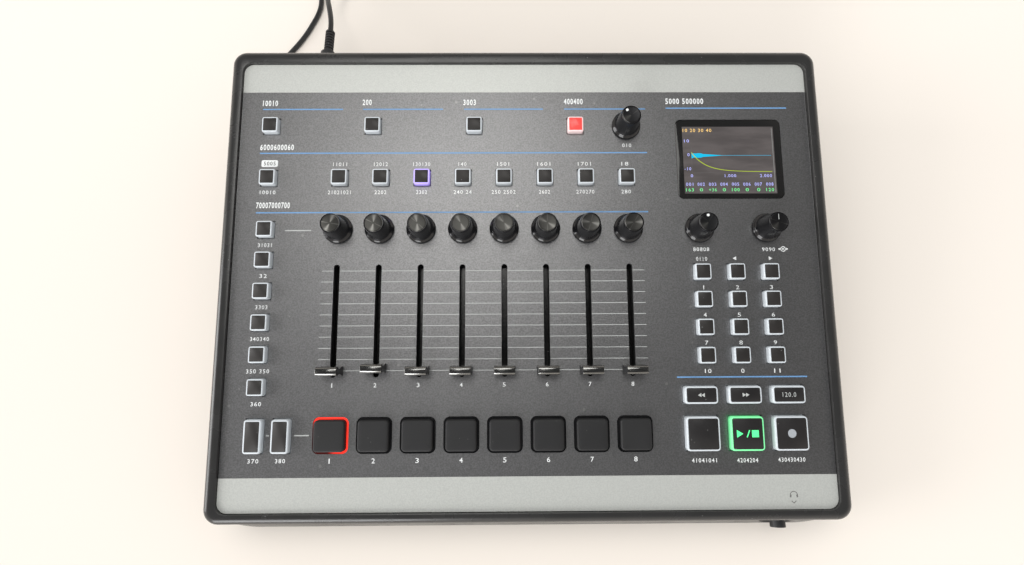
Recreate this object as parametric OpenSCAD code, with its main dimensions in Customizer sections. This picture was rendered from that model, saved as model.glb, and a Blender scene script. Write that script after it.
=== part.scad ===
// Desktop sampling drum machine: a wedge-shaped case with a framed sheet-metal face panel,
// eight channel strips, eight pads, a colour display, a keypad and transport buttons,
// with its sockets on the back wall and a low-voltage lead that ends in a wall adapter.
// Millimetres. +Z is up, +Y is the back, and the origin is on the table, under the middle.

/* [Case] */
// Width of the case across the rim
case_w = 375; // [370:1:385]
// Depth of the case along the sloping top
case_d = 290; // [284:1:300]
// Slope of the top, rising to the back, in degrees
tilt = 8; // [6:0.5:9]
// Height of the face panel above the table at the front edge
front_h = 42; // [40:1:50]
// Height of the rim above the face panel
rim_h = 2; // [1:0.25:4]
// Width of the rim at the sides
rim_side = 8; // [5:0.25:9]
// Width of the rim at the front
rim_front = 6.5; // [5:0.25:8]
// Width of the rim at the back
rim_back = 9; // [7:0.25:10]
// Radius of the case's corners, seen from above
corner_r = 9; // [7:0.5:12]
// Radius that rounds the rim's outer edge
edge_r = 4.5; // [3:0.25:5]
// Wall of both shells
wall = 2.5; // [2:0.1:3]
// Depth of the seam between the shells, below the face panel
seam_drop = 8; // [7:0.5:9]
// How far the lower shell's front edge stands out past the rim
front_flare = 5.7; // [4:0.1:8]
// Height of the lower shell's front edge above its floor, where the flare ends
flare_low = 4; // [2:0.5:6]
// Radius of the lower shell's corners at the table
base_corner_r = 18; // [12:1:24]
// Inset of the lower shell's walls behind the rim
shell_inset = 1; // [0.5:0.25:2]

/* [Feet and screws] */
// Height of a rubber foot
foot_h = 4; // [3:0.5:6]
// Diameter of a rubber foot
foot_d = 18; // [12:1:24]
// Distance of the feet and screws from the ends of the case
foot_inset = 30; // [26:1:36]
// Diameter of a screw's thread
screw_d = 3; // [2.5:0.1:3.5]
// Length of a screw under its head
screw_len = 12; // [10:1:14]
// Diameter of a screw's head
screw_head_d = 5.6; // [5:0.1:6]
// Height of a screw's head
screw_head_h = 2.2; // [1.8:0.1:2.6]
// Outer diameter of a screw post
post_d = 10; // [9.5:0.25:11]

/* [Face panel] */
// Thickness of the face panel
panel_t = 2; // [1.5:0.1:2.5]
// Radius of the face panel's corners
panel_r = 6; // [4:0.5:8]
// Gap between the face panel and the rim
panel_gap = 0.3; // [0.2:0.05:0.5]
// Width of the ledge that carries the face panel
ledge = 8; // [6:0.5:9]
// Gap around each button in its hole
button_gap = 0.45; // [0.3:0.05:0.5]
// Depth of the control board's upper face below the face panel
board_drop = 13; // [12.5:0.5:14]
// Thickness of the circuit boards
board_t = 1.6; // [1.2:0.1:2]

/* [Channel strips] */
// Distance from the left side of the case to the channels, which share the width between the two sides
channel_left = 58.9; // [56:0.1:62]
// Distance from the right side of the case to the channels
channel_right = 112.1; // [109:0.1:116]
// Row of the programming buttons, from the middle of the panel
program_y = 60.5; // [58:0.1:64]
// Row of the channel knobs
knob_y = 27.8; // [26:0.1:30]
// Middle of the faders
fader_y = -28.1; // [-30:0.1:-26]
// Row of the pads and the transport buttons
pad_y = -95.4; // [-97:0.1:-93]

/* [Other rows and columns] */
// Distance from the left side of the case to the column of buttons there
left_inset = 27.5; // [26:0.1:30]
// Row of buttons at the top
top_y = 94.3; // [93:0.1:97]
// Distance between the buttons of the top row, in channels
top_step = 2.5; // [2:0.05:2.6]
// First row of the performance column
perform_y = 27.7; // [26:0.1:30]
// Distance between the performance buttons
perform_pitch = 19; // [17:0.1:19.5]
// Distance between the mute and solo buttons
mute_pitch = 15.9; // [15:0.1:17]
// Distance from the right side of the case to the middle of the keypad
master_inset = 60; // [57:0.1:62]
// Distance between the keypad's columns
key_pitch_x = 20.75; // [19:0.05:21.5]
// Distance between the keypad's rows
key_pitch_y = 16.77; // [15.5:0.01:17]
// First row of the keypad
key_y = 0.35; // [-1:0.05:2]
// Distance from the right side of the case to the middle of the transport buttons
transport_inset = 60; // [59:0.1:63]
// Distance between the transport buttons
transport_pitch = 25.8; // [24:0.1:26]
// Distance from the pads' row to the wide buttons' row
wide_step = 22.2; // [20.5:0.1:23]
// Distance from the last channel to the column of the input gain knob
gain_shift = 0.85; // [-2:0.05:4]

/* [Buttons] */
// Side of a small button
small_w = 10; // [9:0.1:11]
// Height of the small buttons above the face panel
small_rise = 3.8; // [3:0.1:5]
// Width of the mute and solo buttons
mute_w = 10.6; // [10:0.1:13]
// Length of the mute and solo buttons
mute_d = 19.5; // [18:0.1:24]
// Width of the rewind, forward and tempo buttons
wide_w = 19.8; // [18:0.1:22]
// Length of the rewind, forward and tempo buttons
wide_d = 10.5; // [9:0.1:11.5]
// Side of the tap, run and record buttons
large_w = 19.8; // [18:0.1:22]
// Bevel on the upper edges of a button
button_bevel = 0.8; // [0.4:0.1:1.2]
// Travel of a button
button_travel = 0.8; // [0.4:0.1:1.2]
// Radius of a button's stem
stem_r = 1.7; // [1.4:0.1:2]
// Side of a push switch on the board
switch_w = 6; // [5.5:0.1:6.5]
// Height of a push switch on the board
switch_h = 3.5; // [3:0.1:4]
// Running gap inside a push switch and under a button's flange
switch_gap = 0.3; // [0.2:0.05:0.4]

/* [Pads] */
// Space between two pads
pad_space = 7.4; // [5.4:0.1:7.5]
// Height of a pad above the face panel
pad_rise = 3.9; // [2:0.1:4.4]
// Radius of a pad's corners
pad_r = 2.25; // [2:0.25:4]
// Travel of a pad
pad_travel = 1; // [0.5:0.1:1.4]
// Wall of the light frame around a pad
frame_wall = 1; // [0.6:0.1:1]
// Thickness of the force sensor under a pad
sensor_t = 1; // [0.6:0.1:1.4]

/* [Knobs] */
// Radius of a knob at its skirt
knob_r = 9; // [8:0.1:9.5]
// Radius of a knob's top disc
knob_top_r = 5.6; // [5:0.1:6.2]
// Height of a knob above the face panel
knob_h = 16.5; // [14:0.25:18]
// Gap between a knob and the face panel
knob_lift = 0.9; // [0.7:0.1:1.4]
// Radius of a control's shaft
shaft_r = 3; // [2.5:0.1:3.1]
// Radial running clearance of a shaft in its bushing
shaft_gap = 0.05; // [0.02:0.01:0.08]
// Radius of the bushing around a shaft
bushing_r = 3.9; // [3.7:0.1:4.2]
// Side of a rotary control's body under the panel
pot_w = 12; // [11:0.5:13]
// Height of a rotary control's body
pot_h = 7; // [6:0.5:8]

/* [Faders] */
// Travel of a fader
fader_travel = 60; // [45:1:60]
// Width of a fader's slot in the panel
slot_w = 3.6; // [3:0.1:3.6]
// Spare length of the slot at each end of the travel
slot_spare = 2; // [1:0.25:3]
// Length of a fader's lever along the slot
lever_d = 4; // [3:0.25:4.5]
// Thickness of a fader's lever
lever_t = 1.2; // [1:0.1:1.6]
// Width of a fader's body
fader_w = 9; // [8:0.25:11]
// Height of a fader's body
fader_h = 7.5; // [7:0.25:8]
// Length of a fader's body past the slot at each end
fader_end = 8; // [5:0.5:9]
// Width of a fader's cap across the slot
cap_w = 12.8; // [11:0.1:14]
// Length of a fader's cap along the slot, at its foot
cap_d = 5.6; // [5:0.1:7]
// Length of a fader's cap at its waist
cap_waist = 3.2; // [2.6:0.1:4]
// Length of the bar at the top of a fader's cap
cap_bar = 5.2; // [4.4:0.1:6]
// Height of a fader's cap above the face panel
cap_h = 13.5; // [11:0.25:15]
// Distance that the second fader stands up from the bottom of its travel
fader_2_up = 1.5; // [0:0.1:10]

/* [Display] */
// Width of the display window
window_w = 66.5; // [62:0.5:69]
// Height of the display window along the panel
window_d = 51.6; // [48:0.1:54]
// Radius of the window's corners
window_r = 3.5; // [2:0.25:5]
// How far the window's face lies below the panel's
window_drop = 0.2; // [0.1:0.1:0.6]
// Distance from the right side of the case to the middle of the window
window_inset = 59.2; // [57:0.1:62]
// Middle of the window, along the panel
window_y = 72.6; // [70:0.1:74]
// Thickness of the display module
display_t = 4.5; // [3.5:0.1:5]
// Width that the display module overlaps the panel by, all round
display_lap = 2.5; // [1.5:0.25:3]

/* [Sockets] */
// Height of the back sockets' axes above the table
socket_z = 44; // [42:0.5:46]
// Number of large jack sockets on the back wall
jacks = 12; // [4:1:12]
// Distance from the left side of the case to the first jack socket
jack_first = 156.8; // [156:0.2:160]
// Distance from the right side of the case to the last jack socket
jack_last = 29; // [29:0.5:32]
// Radius of a jack socket's bore
jack_bore_r = 3.2; // [3.15:0.01:3.3]
// Radius of a jack socket's threaded nose
jack_nose_r = 4.5; // [4.3:0.1:4.8]
// Space between the bodies of two jack sockets
jack_space = 2.5; // [1.5:0.5:4]
// Length of a jack socket's body behind the wall
jack_body_d = 26; // [22:1:30]
// Height of a jack socket's body
jack_body_h = 14; // [12:0.5:15]
// Depth of a jack socket's bore
jack_bore_d = 28; // [26:0.5:28]
// Outer radius of a jack socket's nut
nut_r = 6.4; // [6:0.1:7]
// Thickness of a jack socket's nut
nut_t = 2.2; // [1.8:0.1:3]
// Length of a jack socket's nose past its nut
nose_out = 0.8; // [0.4:0.1:1.5]
// Round data sockets: radius of the face
din_r = 7.5; // [7.2:0.1:8]
// Round data sockets: radius of the well
din_well_r = 6.7; // [6.5:0.1:6.9]
// Distance from the left side of the case to the middle of the round data sockets
din_inset = 126; // [124:0.5:127.5]
// Round data sockets: distance between the two
din_pitch = 21; // [20:0.5:23]
// Round data sockets: depth of the well
din_well_d = 8; // [7:0.5:9]
// Round data sockets: depth of the body behind the wall
din_d = 12; // [10:0.5:18]
// Distance from the left side of the case to the square data socket
usb_inset = 88.5; // [86:0.5:92]
// Square data socket: width
usb_w = 12; // [11.5:0.5:13]
// Square data socket: width of the opening
usb_open_w = 8.6; // [8.5:0.1:9]
// Square data socket: height of the opening
usb_open_h = 7.8; // [7.7:0.1:8.2]
// Square data socket: depth of the opening
usb_open_d = 9; // [8:0.5:10]
// Distance from the left side of the case to the power inlet
inlet_inset = 46; // [45:0.5:52]
// Distance from the left side of the case to the power button
power_inset = 27.5; // [26:0.5:29]
// Power button: side
power_w = 9; // [8:0.5:10]
// Power button: how far it stands out of the back wall while it is on
power_out = 1.2; // [0.8:0.1:3]
// Power button: travel
power_travel = 2.5; // [1:0.1:3]
// Distance from the right side of the case to the headphone socket
phones_inset = 34.5; // [34:0.5:42]
// Headphone socket: height of the axis above the table
phones_z = 20; // [19:0.5:22]
// Headphone socket: radius of the recess around it
phones_recess_r = 10.5; // [8:0.5:11]
// Headphone socket: outer radius of its nut
phones_nut_r = 5.4; // [5.2:0.1:6]

/* [Lead and adapter] */
// Diameter of the lead
lead_d = 3.8; // [3.8:0.1:3.8]
// Radius of the plug's grip
grip_r = 5.2; // [4.6:0.1:6]
// Radius of the plug's barrel
barrel_r = 2.75; // [2.5:0.05:2.8]
// Length of the plug's barrel
barrel_len = 9.5; // [9:0.5:10]
// Length of the plug's grip
grip_len = 30; // [24:1:31]
// Radius of the plug's ribbed strain relief
relief_r = 3.3; // [2.8:0.1:3.6]
// Length of the plug's strain relief
relief_len = 18; // [18:0.5:18]
// Length of the wall adapter's body
adapter_l = 70; // [64:1:74]
// Width of the wall adapter's body
adapter_w = 38; // [34:1:38]
// Height of the wall adapter's body
adapter_h = 28; // [24:1:28]

/* [Hidden] */
$fn = 48;
tiny = 0.01;
// How far a cut runs past the material
over = 1;
socket_gap = 0.3;
power_frame_w = power_w + 0.4;

// The panel's frame and the case's main places
panel_z = front_h + case_d / 2 * sin(tilt);
panel_w = case_w - 2 * rim_side;
panel_d = case_d - rim_front - rim_back;
panel_y = (rim_front - rim_back) / 2;
rim_front_y = -case_d / 2 * cos(tilt);
base_front_y = rim_front_y - front_flare;
rear_wall_y = case_d / 2 * cos(tilt) + 0.7;
shell_w = case_w - 2 * shell_inset;
floor_z = foot_h + wall;
ledge_t = 2.5;

// The headphone socket's pocket is as deep as its body needs behind the sloping front wall
seam_front = seam_at(0);
flare_slope = atan((seam_front[0] - base_front_y) / (seam_front[1] - foot_h - flare_low));
phones_gap = 0.4;
phones_set = (phones_z + jack_body_h / 2 - foot_h - flare_low) * tan(flare_slope)
    + wall / cos(flare_slope) - wall + phones_gap;
phones_floor_y = base_front_y + phones_set;
nose_front_gap = 0.6;
phones_nose = nose_front_gap + phones_set - nut_t;

// The origin is under the middle of the machine, from the front socket's nose to the back sockets' noses
nose_front_y = base_front_y - nose_front_gap;
nose_rear_y = rear_wall_y + nut_t + nose_out;
shift_y = -(nose_front_y + nose_rear_y) / 2;

// Each channel has a programming button, a knob, a fader and a pad
channels = 8;
channel_pitch = (case_w - channel_left - channel_right) / channels;
channel_x = (channel_left - channel_right) / 2;
pad_w = channel_pitch - pad_space;

// Columns, from the middle of the case
left_x = left_inset - case_w / 2;
master_x = case_w / 2 - master_inset;
transport_x = case_w / 2 - transport_inset;
window_x = case_w / 2 - window_inset;
gain_x = channel(channels - 1) + gain_shift;
wide_y = pad_y + wide_step;
top_pitch = top_step * channel_pitch;
din_x = din_inset - case_w / 2;
usb_x = usb_inset - case_w / 2;
inlet_x = inlet_inset - case_w / 2;
power_x = power_inset - case_w / 2;
phones_x = case_w / 2 - phones_inset;
jack_pitch = (case_w - jack_first - jack_last) / (jacks - 1);
jack_places = [for (i = [0:jacks - 1]) jack_first - case_w / 2 + i * jack_pitch];
jack_body_w = jack_pitch - jack_space;

// Screw posts stand beside the boards: a screw's head sits on a seat below the posts' meeting face
post_gap = 0.3;
seat = 3;
screw_bite = 2;
post_x = case_w / 2 - wall - shell_inset - post_d / 2 - post_gap;
post_y = 112;
post_mid_y = 5;
screw_places = [for (side = [-1, 1], y = [-post_y, post_mid_y, post_y]) [side * post_x, y]];

// The control board's size and its standoffs
board_gap = 0.5;
board_side = 2.7;
board_w = 2 * (post_x - post_d / 2 - board_side);
board_d = 244;
board_y = -3;
board_top = -board_drop;
standoff_r = 2.5;
standoff_x = [left_x + 10.5, channel_x, master_x - 40.5, master_x + 32.5];
standoff_y = [-119, 108];
standoffs = [for (x = standoff_x, y = standoff_y) [x, y]];

// Pushbutton sizes worked out from the panel and the board
flange_t = 1;
flange_lap = 1;
well_depth = 2;
stem_low = board_top + switch_h - well_depth + switch_gap + button_travel;
plunger_w = 12;
sensor_w = 14;
pad_low = board_top + sensor_t + switch_gap + pad_travel;
pad_hole = pad_w + 2 * (button_gap + frame_wall);
frame_gap = 0.05;
frame_r = pad_r + button_gap + frame_wall;
frame_lip_t = 1.2;
frame_lip = 1;
pad_flange = 1.2;
pad_base = -panel_t - frame_lip_t - switch_gap - flange_t;

// Slots and bores of the faders and rotary controls
slot_len = fader_travel + lever_d + 2 * slot_spare;
fader_floor = 2;
cap_low = 1.2;
cap_foot = 1.4;
cap_round = 1.4;
pot_floor = 2;
end_gap = 0.4;
bushing_gap = 0.15;

// The main board lies under the back sockets, on its own posts
main_board_top = socket_z - jack_body_h / 2;
main_board_z = main_board_top - board_t;
main_board_side = 1.7;
main_board_w = 2 * (post_x - post_d / 2 - main_board_side);
main_board_d = 62;
main_board_y = rear_wall_y - wall - board_gap - main_board_d / 2;
// Its posts stand in two rows, an inset from its edges, behind the chips and in front of the sockets
board_post_inset = 20;
board_post_step = (main_board_w - 2 * board_post_inset) / 3;
board_post_y = [7 - main_board_d / 2, main_board_d / 2 - 19];
board_posts = [for (i = [0:3], y = board_post_y)
    [board_post_inset - main_board_w / 2 + i * board_post_step, main_board_y + y]];
// Chips on it: how far across the board, side and height
chip_y = main_board_y - 16;
chips = [[0.18, 18, 1.6], [0.36, 24, 2], [0.46, 14, 1.4], [0.65, 20, 1.6], [0.82, 14, 1.4]];
capacitors = [0.06, 0.1];
capacitor_d = 8;
capacitor_h = 10;
din_places = [din_x - din_pitch / 2, din_x + din_pitch / 2];
din_w = 2 * din_r + 3;
usb_body_d = 14;
inlet_w = 11;
inlet_d = 12;
power_d = 15;
power_cap_d = 10;
power_bevel = 0.6;

function channel(i) = channel_x + (i - (channels - 1) / 2) * channel_pitch;
function key_places() = [for (r = [0:3], c = [-1:1]) [master_x + c * key_pitch_x, key_y - r * key_pitch_y]];
function top_places() = [for (i = [0:3]) [left_x + i * top_pitch, top_y]];
function program_places() =
    concat([[left_x, program_y]], [for (i = [0:channels - 1]) [channel(i), program_y]]);
function perform_places() = [for (i = [0:5]) [left_x, perform_y - i * perform_pitch]];
function knob_places() = concat(
    [for (i = [0:channels - 1]) [channel(i), knob_y]],
    [[gain_x, top_y], [master_x - key_pitch_x, knob_y], [master_x + key_pitch_x, knob_y]]);
function master_knob(i) = knob_places()[channels + i];
function fader_rest(i) = fader_y - fader_travel / 2 + (i == 1 ? fader_2_up : 0);

// Every push button but the pads: place, width and length
small_places = concat(top_places(), program_places(), perform_places(), key_places());
mute_places = [[left_x, pad_y], [left_x + mute_pitch, pad_y]];
wide_places = [for (c = [-1:1]) [transport_x + c * transport_pitch, wide_y]];
large_places = [for (c = [-1:1]) [transport_x + c * transport_pitch, pad_y]];

// The lead's own places on the table: the coil's middle, the adapter's middle and where its cord comes out
coil_place = [-150, 172.7];
coil_turn_r = 19;
coil_layers = 4;
coil_layer_turns = 2.25;
coil_half = (coil_layer_turns * lead_d + lead_d) / 2;
adapter_place = [-20, 168.5];
tail_y = 156;
tail_z = 5;
tail_relief = 20;
blade = [17, 1.5, 6.3];
blade_half = 6.35;

// Route of the lead in the open: out of the plug, down to the table, round and back behind the case
lead_start = [inlet_x, rear_wall_y + grip_len + relief_len + shift_y, socket_z];
lead_route = [
    [-142, 202, 43.6], [-143.8, 211, 42], [-146.5, 220.5, 39], [-149.5, 230, 34.5], [-152, 239.5, 28.5],
    [-152.5, 249, 21.5], [-150.5, 258.5, 14.5], [-147, 268, 8.6], [-143.8, 277.5, 4.4], [-142.5, 287.5, 2.3],
    [-143.5, 297, 1.9], [-149, 304.5, 1.9], [-158.2, 307.3, 1.9], [-167.3, 304, 1.9], [-172.8, 296, 1.9],
    [-173.5, 286.5, 1.9], [-171.5, 277, 1.9], [-169, 267, 1.9], [-168, 257, 1.9], [-169.5, 247, 1.9],
    [-173, 237, 1.9], [-177.3, 227, 1.9], [-182.5, 217.5, 1.9], [-188.5, 208.5, 1.9], [-194.5, 199.5, 1.9],
    [-199, 190, 1.9], [-200.5, 179.5, 1.9], [-198, 168.5, 1.9], [-191, 159, 1.9], [-180.5, 152.5, 1.9],
    [-166, 149.6, 1.9], [-152, 149.4, 1.9]
];
// Route of its last stretch, from the top of the coil to the adapter
tail_route = [
    [-150, 149.4, 13.3], [-140, 149.2, 12.9], [-130, 149.4, 10], [-120, 150.5, 6.2], [-110, 152, 3.2],
    [-100, 153.7, 2], [-90, 155.2, 2.5], [-82, 155.9, 3.8]
];
tail_end = [adapter_place[0] - adapter_l / 2 - tail_relief, tail_y, tail_z];

module on_case() {
    translate([0, shift_y, 0]) children();
}
module on_panel(x = 0, y = 0, w = 0) {
    on_case() translate([0, 0, panel_z]) rotate([tilt, 0, 0]) translate([x, y, w]) children();
}
// A block with rounded upright edges, standing on z
module rounded_block(w, d, h, r) {
    translate([-w / 2 + r, -d / 2, 0]) cube([w - 2 * r, d, h]);
    translate([-w / 2, -d / 2 + r, 0]) cube([w, d - 2 * r, h]);
    for (x = [-1, 1], y = [-1, 1]) translate([x * (w / 2 - r), y * (d / 2 - r), 0]) cylinder(r = r, h = h);
}
// The quarter round that runs along the top edge of a rounded block of height 0
module edge_round(w, d, corner, r) {
    module profile() {
        intersection() {
            circle(r = r);
            square(r);
        }
    }
    for (side = [-1, 1]) {
        translate([side * (w / 2 - r), d / 2 - corner, 0]) rotate([90, 0, 0])
            mirror([side < 0 ? 1 : 0, 0, 0]) linear_extrude(d - 2 * corner) profile();
        translate([side * (w / 2 - corner), side * (d / 2 - r), 0]) rotate([90, 0, -90 * side])
            linear_extrude(w - 2 * corner) profile();
    }
    for (quarter = [0:3]) {
        x = quarter == 0 || quarter == 3 ? 1 : -1;
        y = quarter < 2 ? 1 : -1;
        translate([x * (w / 2 - corner), y * (d / 2 - corner), 0]) rotate([0, 0, quarter * 90])
            rotate_extrude(angle = 90) translate([corner - r, 0]) profile();
    }
}
// A rounded block whose upper edge is rounded too
module soft_block(w, d, h, corner, edge) {
    rounded_block(w, d, h - edge, corner);
    translate([0, 0, h - edge]) edge_round(w, d, corner, edge);
    translate([0, 0, h - edge - tiny]) rounded_block(w - 2 * edge, d - 2 * edge, edge + tiny, corner - edge);
}
// A square button cap with bevelled upper edges, its upper face at z = 0
module bevelled_cap(w, d, depth, bevel) {
    translate([-w / 2, -d / 2, -depth]) cube([w, d, depth - bevel]);
    intersection() {
        translate([0, d / 2, -bevel]) rotate([90, 0, 0]) linear_extrude(d)
            polygon([[-w / 2, 0], [w / 2, 0], [w / 2 - bevel, bevel], [bevel - w / 2, bevel]]);
        translate([-w / 2, 0, -bevel]) rotate([90, 0, 90]) linear_extrude(w)
            polygon([[-d / 2, 0], [d / 2, 0], [d / 2 - bevel, bevel], [bevel - d / 2, bevel]]);
    }
}

// --- Case ---
// The top shell is a frame: a rounded rim, a ledge that carries the face panel, and a short wall
module case_top() {
    color("#1d1c1c") {
        difference() {
            on_panel(w = -seam_drop) soft_block(case_w, case_d, seam_drop + rim_h, corner_r, edge_r);
            on_panel(y = panel_y, w = -panel_t)
                rounded_block(panel_w + 2 * panel_gap, panel_d + 2 * panel_gap,
                    rim_h + panel_t + over, panel_r + panel_gap);
            on_panel(y = panel_y, w = -seam_drop - over)
                rounded_block(panel_w - 2 * ledge, panel_d - 2 * ledge, seam_drop + 2 * over, panel_r);
            on_panel(w = -seam_drop - over)
                rounded_block(case_w - 2 * wall, case_d - 2 * wall,
                    seam_drop + over - panel_t - ledge_t, corner_r - wall);
        }
        for (p = screw_places) on_case() translate([p[0], p[1] * cos(tilt), post_top(p[1])]) difference() {
            cylinder(d = post_d, h = ledge_low(p[1]) + ledge_t / 2 - post_top(p[1]));
            translate([0, 0, -over]) cylinder(d = screw_d - 0.2, h = over + screw_len - seat + 0.5);
        }
    }
}
// Height above the table of the ledge's underside, and of the meeting face of two screw posts
function ledge_low(y) = panel_z + y * sin(tilt) - (panel_t + ledge_t) * cos(tilt);
function post_top(y) = ledge_low(y - post_d / 2) - screw_len + screw_bite;

// The seam's front edge, seen from the side, on a wall that is moved inwards
function seam_at(inwards) =
    let (y = -case_d / 2 + shell_inset + inwards)
    [y * cos(tilt) + seam_drop * sin(tilt), panel_z + y * sin(tilt) - seam_drop * cos(tilt)];
// A wedge with sloping front wall, its upper face on the seam; grown inwards by an inset
module wedge(inset, low) {
    rear_y = rear_wall_y - inset;
    rear_top = panel_z + rear_y * tan(tilt) - seam_drop / cos(tilt);
    intersection() {
        on_case() translate([-case_w / 2, 0, 0]) rotate([90, 0, 90]) linear_extrude(case_w)
            polygon([[rear_y, low], [rear_y, rear_top], seam_at(inset / cos(flare_slope)),
                [base_front_y + inset, foot_h + flare_low], [base_front_y + inset, low]]);
        on_case() translate([0, (base_front_y + rear_wall_y) / 2, low])
            rounded_block(shell_w - 2 * inset, rear_wall_y - base_front_y - 2 * inset,
                panel_z * 2, base_corner_r - inset);
    }
}
module wall_hole(x, z, r, y = rear_wall_y) {
    on_case() translate([x, y + over, z]) rotate([90, 0, 0]) cylinder(r = r, h = wall + 2 * over);
}
module back_window(x, w) {
    on_case() translate([x - w / 2, rear_wall_y - wall - over, socket_z - w / 2])
        cube([w, wall + 2 * over, w]);
}
// A round pocket in the front wall, open to the front, with its floor upright at a distance
module phones_pocket(r, floor_y) {
    on_case() translate([phones_x, floor_y, phones_z]) rotate([90, 0, 0])
        cylinder(r = r, h = phones_set + front_flare + wall);
}
// The lower shell: floor, sloping front wall, back wall with its openings, screw and board posts
module case_bottom() {
    color("#161616") {
        difference() {
            wedge(0, foot_h);
            difference() {
                wedge(wall, floor_z);
                for (p = screw_places) on_case() translate([p[0], p[1] * cos(tilt), 0])
                    cylinder(d = post_d, h = post_top(p[1]));
                phones_pocket(phones_recess_r + wall, phones_floor_y + wall);
            }
            phones_pocket(phones_recess_r, phones_floor_y);
            wall_hole(phones_x, phones_z, jack_nose_r + socket_gap, phones_floor_y + wall);
            for (x = jack_places) wall_hole(x, socket_z, jack_nose_r + socket_gap);
            for (x = din_places) wall_hole(x, socket_z, din_r + socket_gap);
            wall_hole(inlet_x, socket_z, grip_r + socket_gap);
            back_window(usb_x, usb_w + 2 * socket_gap);
            back_window(power_x, power_frame_w + 2 * socket_gap);
            for (p = screw_places) on_case() translate([p[0], p[1] * cos(tilt), 0]) {
                cylinder(d = screw_head_d + 0.8, h = post_top(p[1]) - seat);
                cylinder(d = screw_d + 0.4, h = post_top(p[1]) + over);
            }
        }
        for (p = board_posts) on_case() translate([p[0], p[1], floor_z - tiny])
            cylinder(r = standoff_r, h = main_board_z - floor_z + tiny);
    }
}
module rubber_feet() {
    color("#1b1b1b") for (x = [-1, 1], y = [-1, 1]) on_case()
        translate([x * (case_w / 2 - foot_inset), y * (case_d / 2 - foot_inset), 0]) {
            cylinder(d1 = foot_d - 2, d2 = foot_d, h = 1);
            translate([0, 0, 1]) cylinder(d = foot_d, h = foot_h - 1);
        }
}
// Pan-head screws, driven up through the lower shell's posts into the top shell
module case_screws() {
    recess = [3.2, 0.8, 1.2];
    color("#8d9094") for (p = screw_places) on_case()
        translate([p[0], p[1] * cos(tilt), post_top(p[1]) - seat]) {
            difference() {
                translate([0, 0, -screw_head_h]) cylinder(d = screw_head_d, h = screw_head_h);
                for (turn = [0, 90]) rotate(turn)
                    translate([-recess[0] / 2, -recess[1] / 2, -screw_head_h - tiny]) cube(recess);
            }
            cylinder(d = screw_d - 0.2, h = screw_len);
        }
}

// --- Face panel and display ---
module block_cut(place, w, d) {
    on_panel(place[0], place[1], -panel_t - over)
        translate([-w / 2, -d / 2, 0]) cube([w, d, panel_t + 2 * over]);
}
module face_panel() {
    color("#4d4f52") difference() {
        on_panel(y = panel_y, w = -panel_t) rounded_block(panel_w, panel_d, panel_t, panel_r);
        for (p = small_places) block_cut(p, small_w + 2 * button_gap, small_w + 2 * button_gap);
        for (p = mute_places) block_cut(p, mute_w + 2 * button_gap, mute_d + 2 * button_gap);
        for (p = wide_places) block_cut(p, wide_w + 2 * button_gap, wide_d + 2 * button_gap);
        for (p = large_places) block_cut(p, large_w + 2 * button_gap, large_w + 2 * button_gap);
        for (i = [0:channels - 1]) {
            on_panel(channel(i), pad_y, -panel_t - over)
                rounded_block(pad_hole, pad_hole, panel_t + 2 * over, frame_r);
            on_panel(channel(i), fader_y, -panel_t - over) {
                translate([-slot_w / 2, -slot_len / 2 + slot_w / 2, 0])
                    cube([slot_w, slot_len - slot_w, panel_t + 2 * over]);
                for (end = [-1, 1]) translate([0, end * (slot_len - slot_w) / 2, 0])
                    cylinder(d = slot_w, h = panel_t + 2 * over);
            }
        }
        for (p = knob_places()) on_panel(p[0], p[1], -panel_t - over)
            cylinder(r = bushing_r + bushing_gap, h = panel_t + 2 * over);
        on_panel(window_x, window_y, -panel_t - over)
            rounded_block(window_w + 0.4, window_d + 0.4, panel_t + 2, window_r + 0.2);
    }
    color("#8d9094") for (p = standoffs) on_panel(p[0], p[1], board_top)
        cylinder(r = standoff_r, h = board_drop - panel_t);
}
module screen_window() {
    color("#0c0d10") on_panel(window_x, window_y, -panel_t)
        rounded_block(window_w, window_d, panel_t - window_drop, window_r);
}
module display_module() {
    color("#20242a") on_panel(window_x, window_y, -panel_t - display_t)
        translate([-window_w / 2 - display_lap, -window_d / 2 - display_lap, 0])
            cube([window_w + 2 * display_lap, window_d + 2 * display_lap, display_t]);
}

// --- Boards ---
module push_switch(place) {
    on_panel(place[0], place[1], board_top) difference() {
        translate([-switch_w / 2, -switch_w / 2, 0]) cube([switch_w, switch_w, switch_h]);
        translate([0, 0, switch_h - well_depth]) cylinder(r = stem_r + switch_gap, h = well_depth + 1);
    }
}
// The board under the face panel, with its push switches and the force sensors of the pads
module control_board() {
    color("#1f5a3c") on_panel(0, board_y, board_top - board_t)
        translate([-board_w / 2, -board_d / 2, 0]) cube([board_w, board_d, board_t]);
    color("#2b2b2e") {
        for (p = concat(small_places, mute_places, wide_places, large_places)) push_switch(p);
    }
    color("#b9a24a") for (i = [0:channels - 1]) on_panel(channel(i), pad_y, board_top)
        translate([-sensor_w / 2, -sensor_w / 2, 0]) cube([sensor_w, sensor_w, sensor_t]);
}
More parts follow.
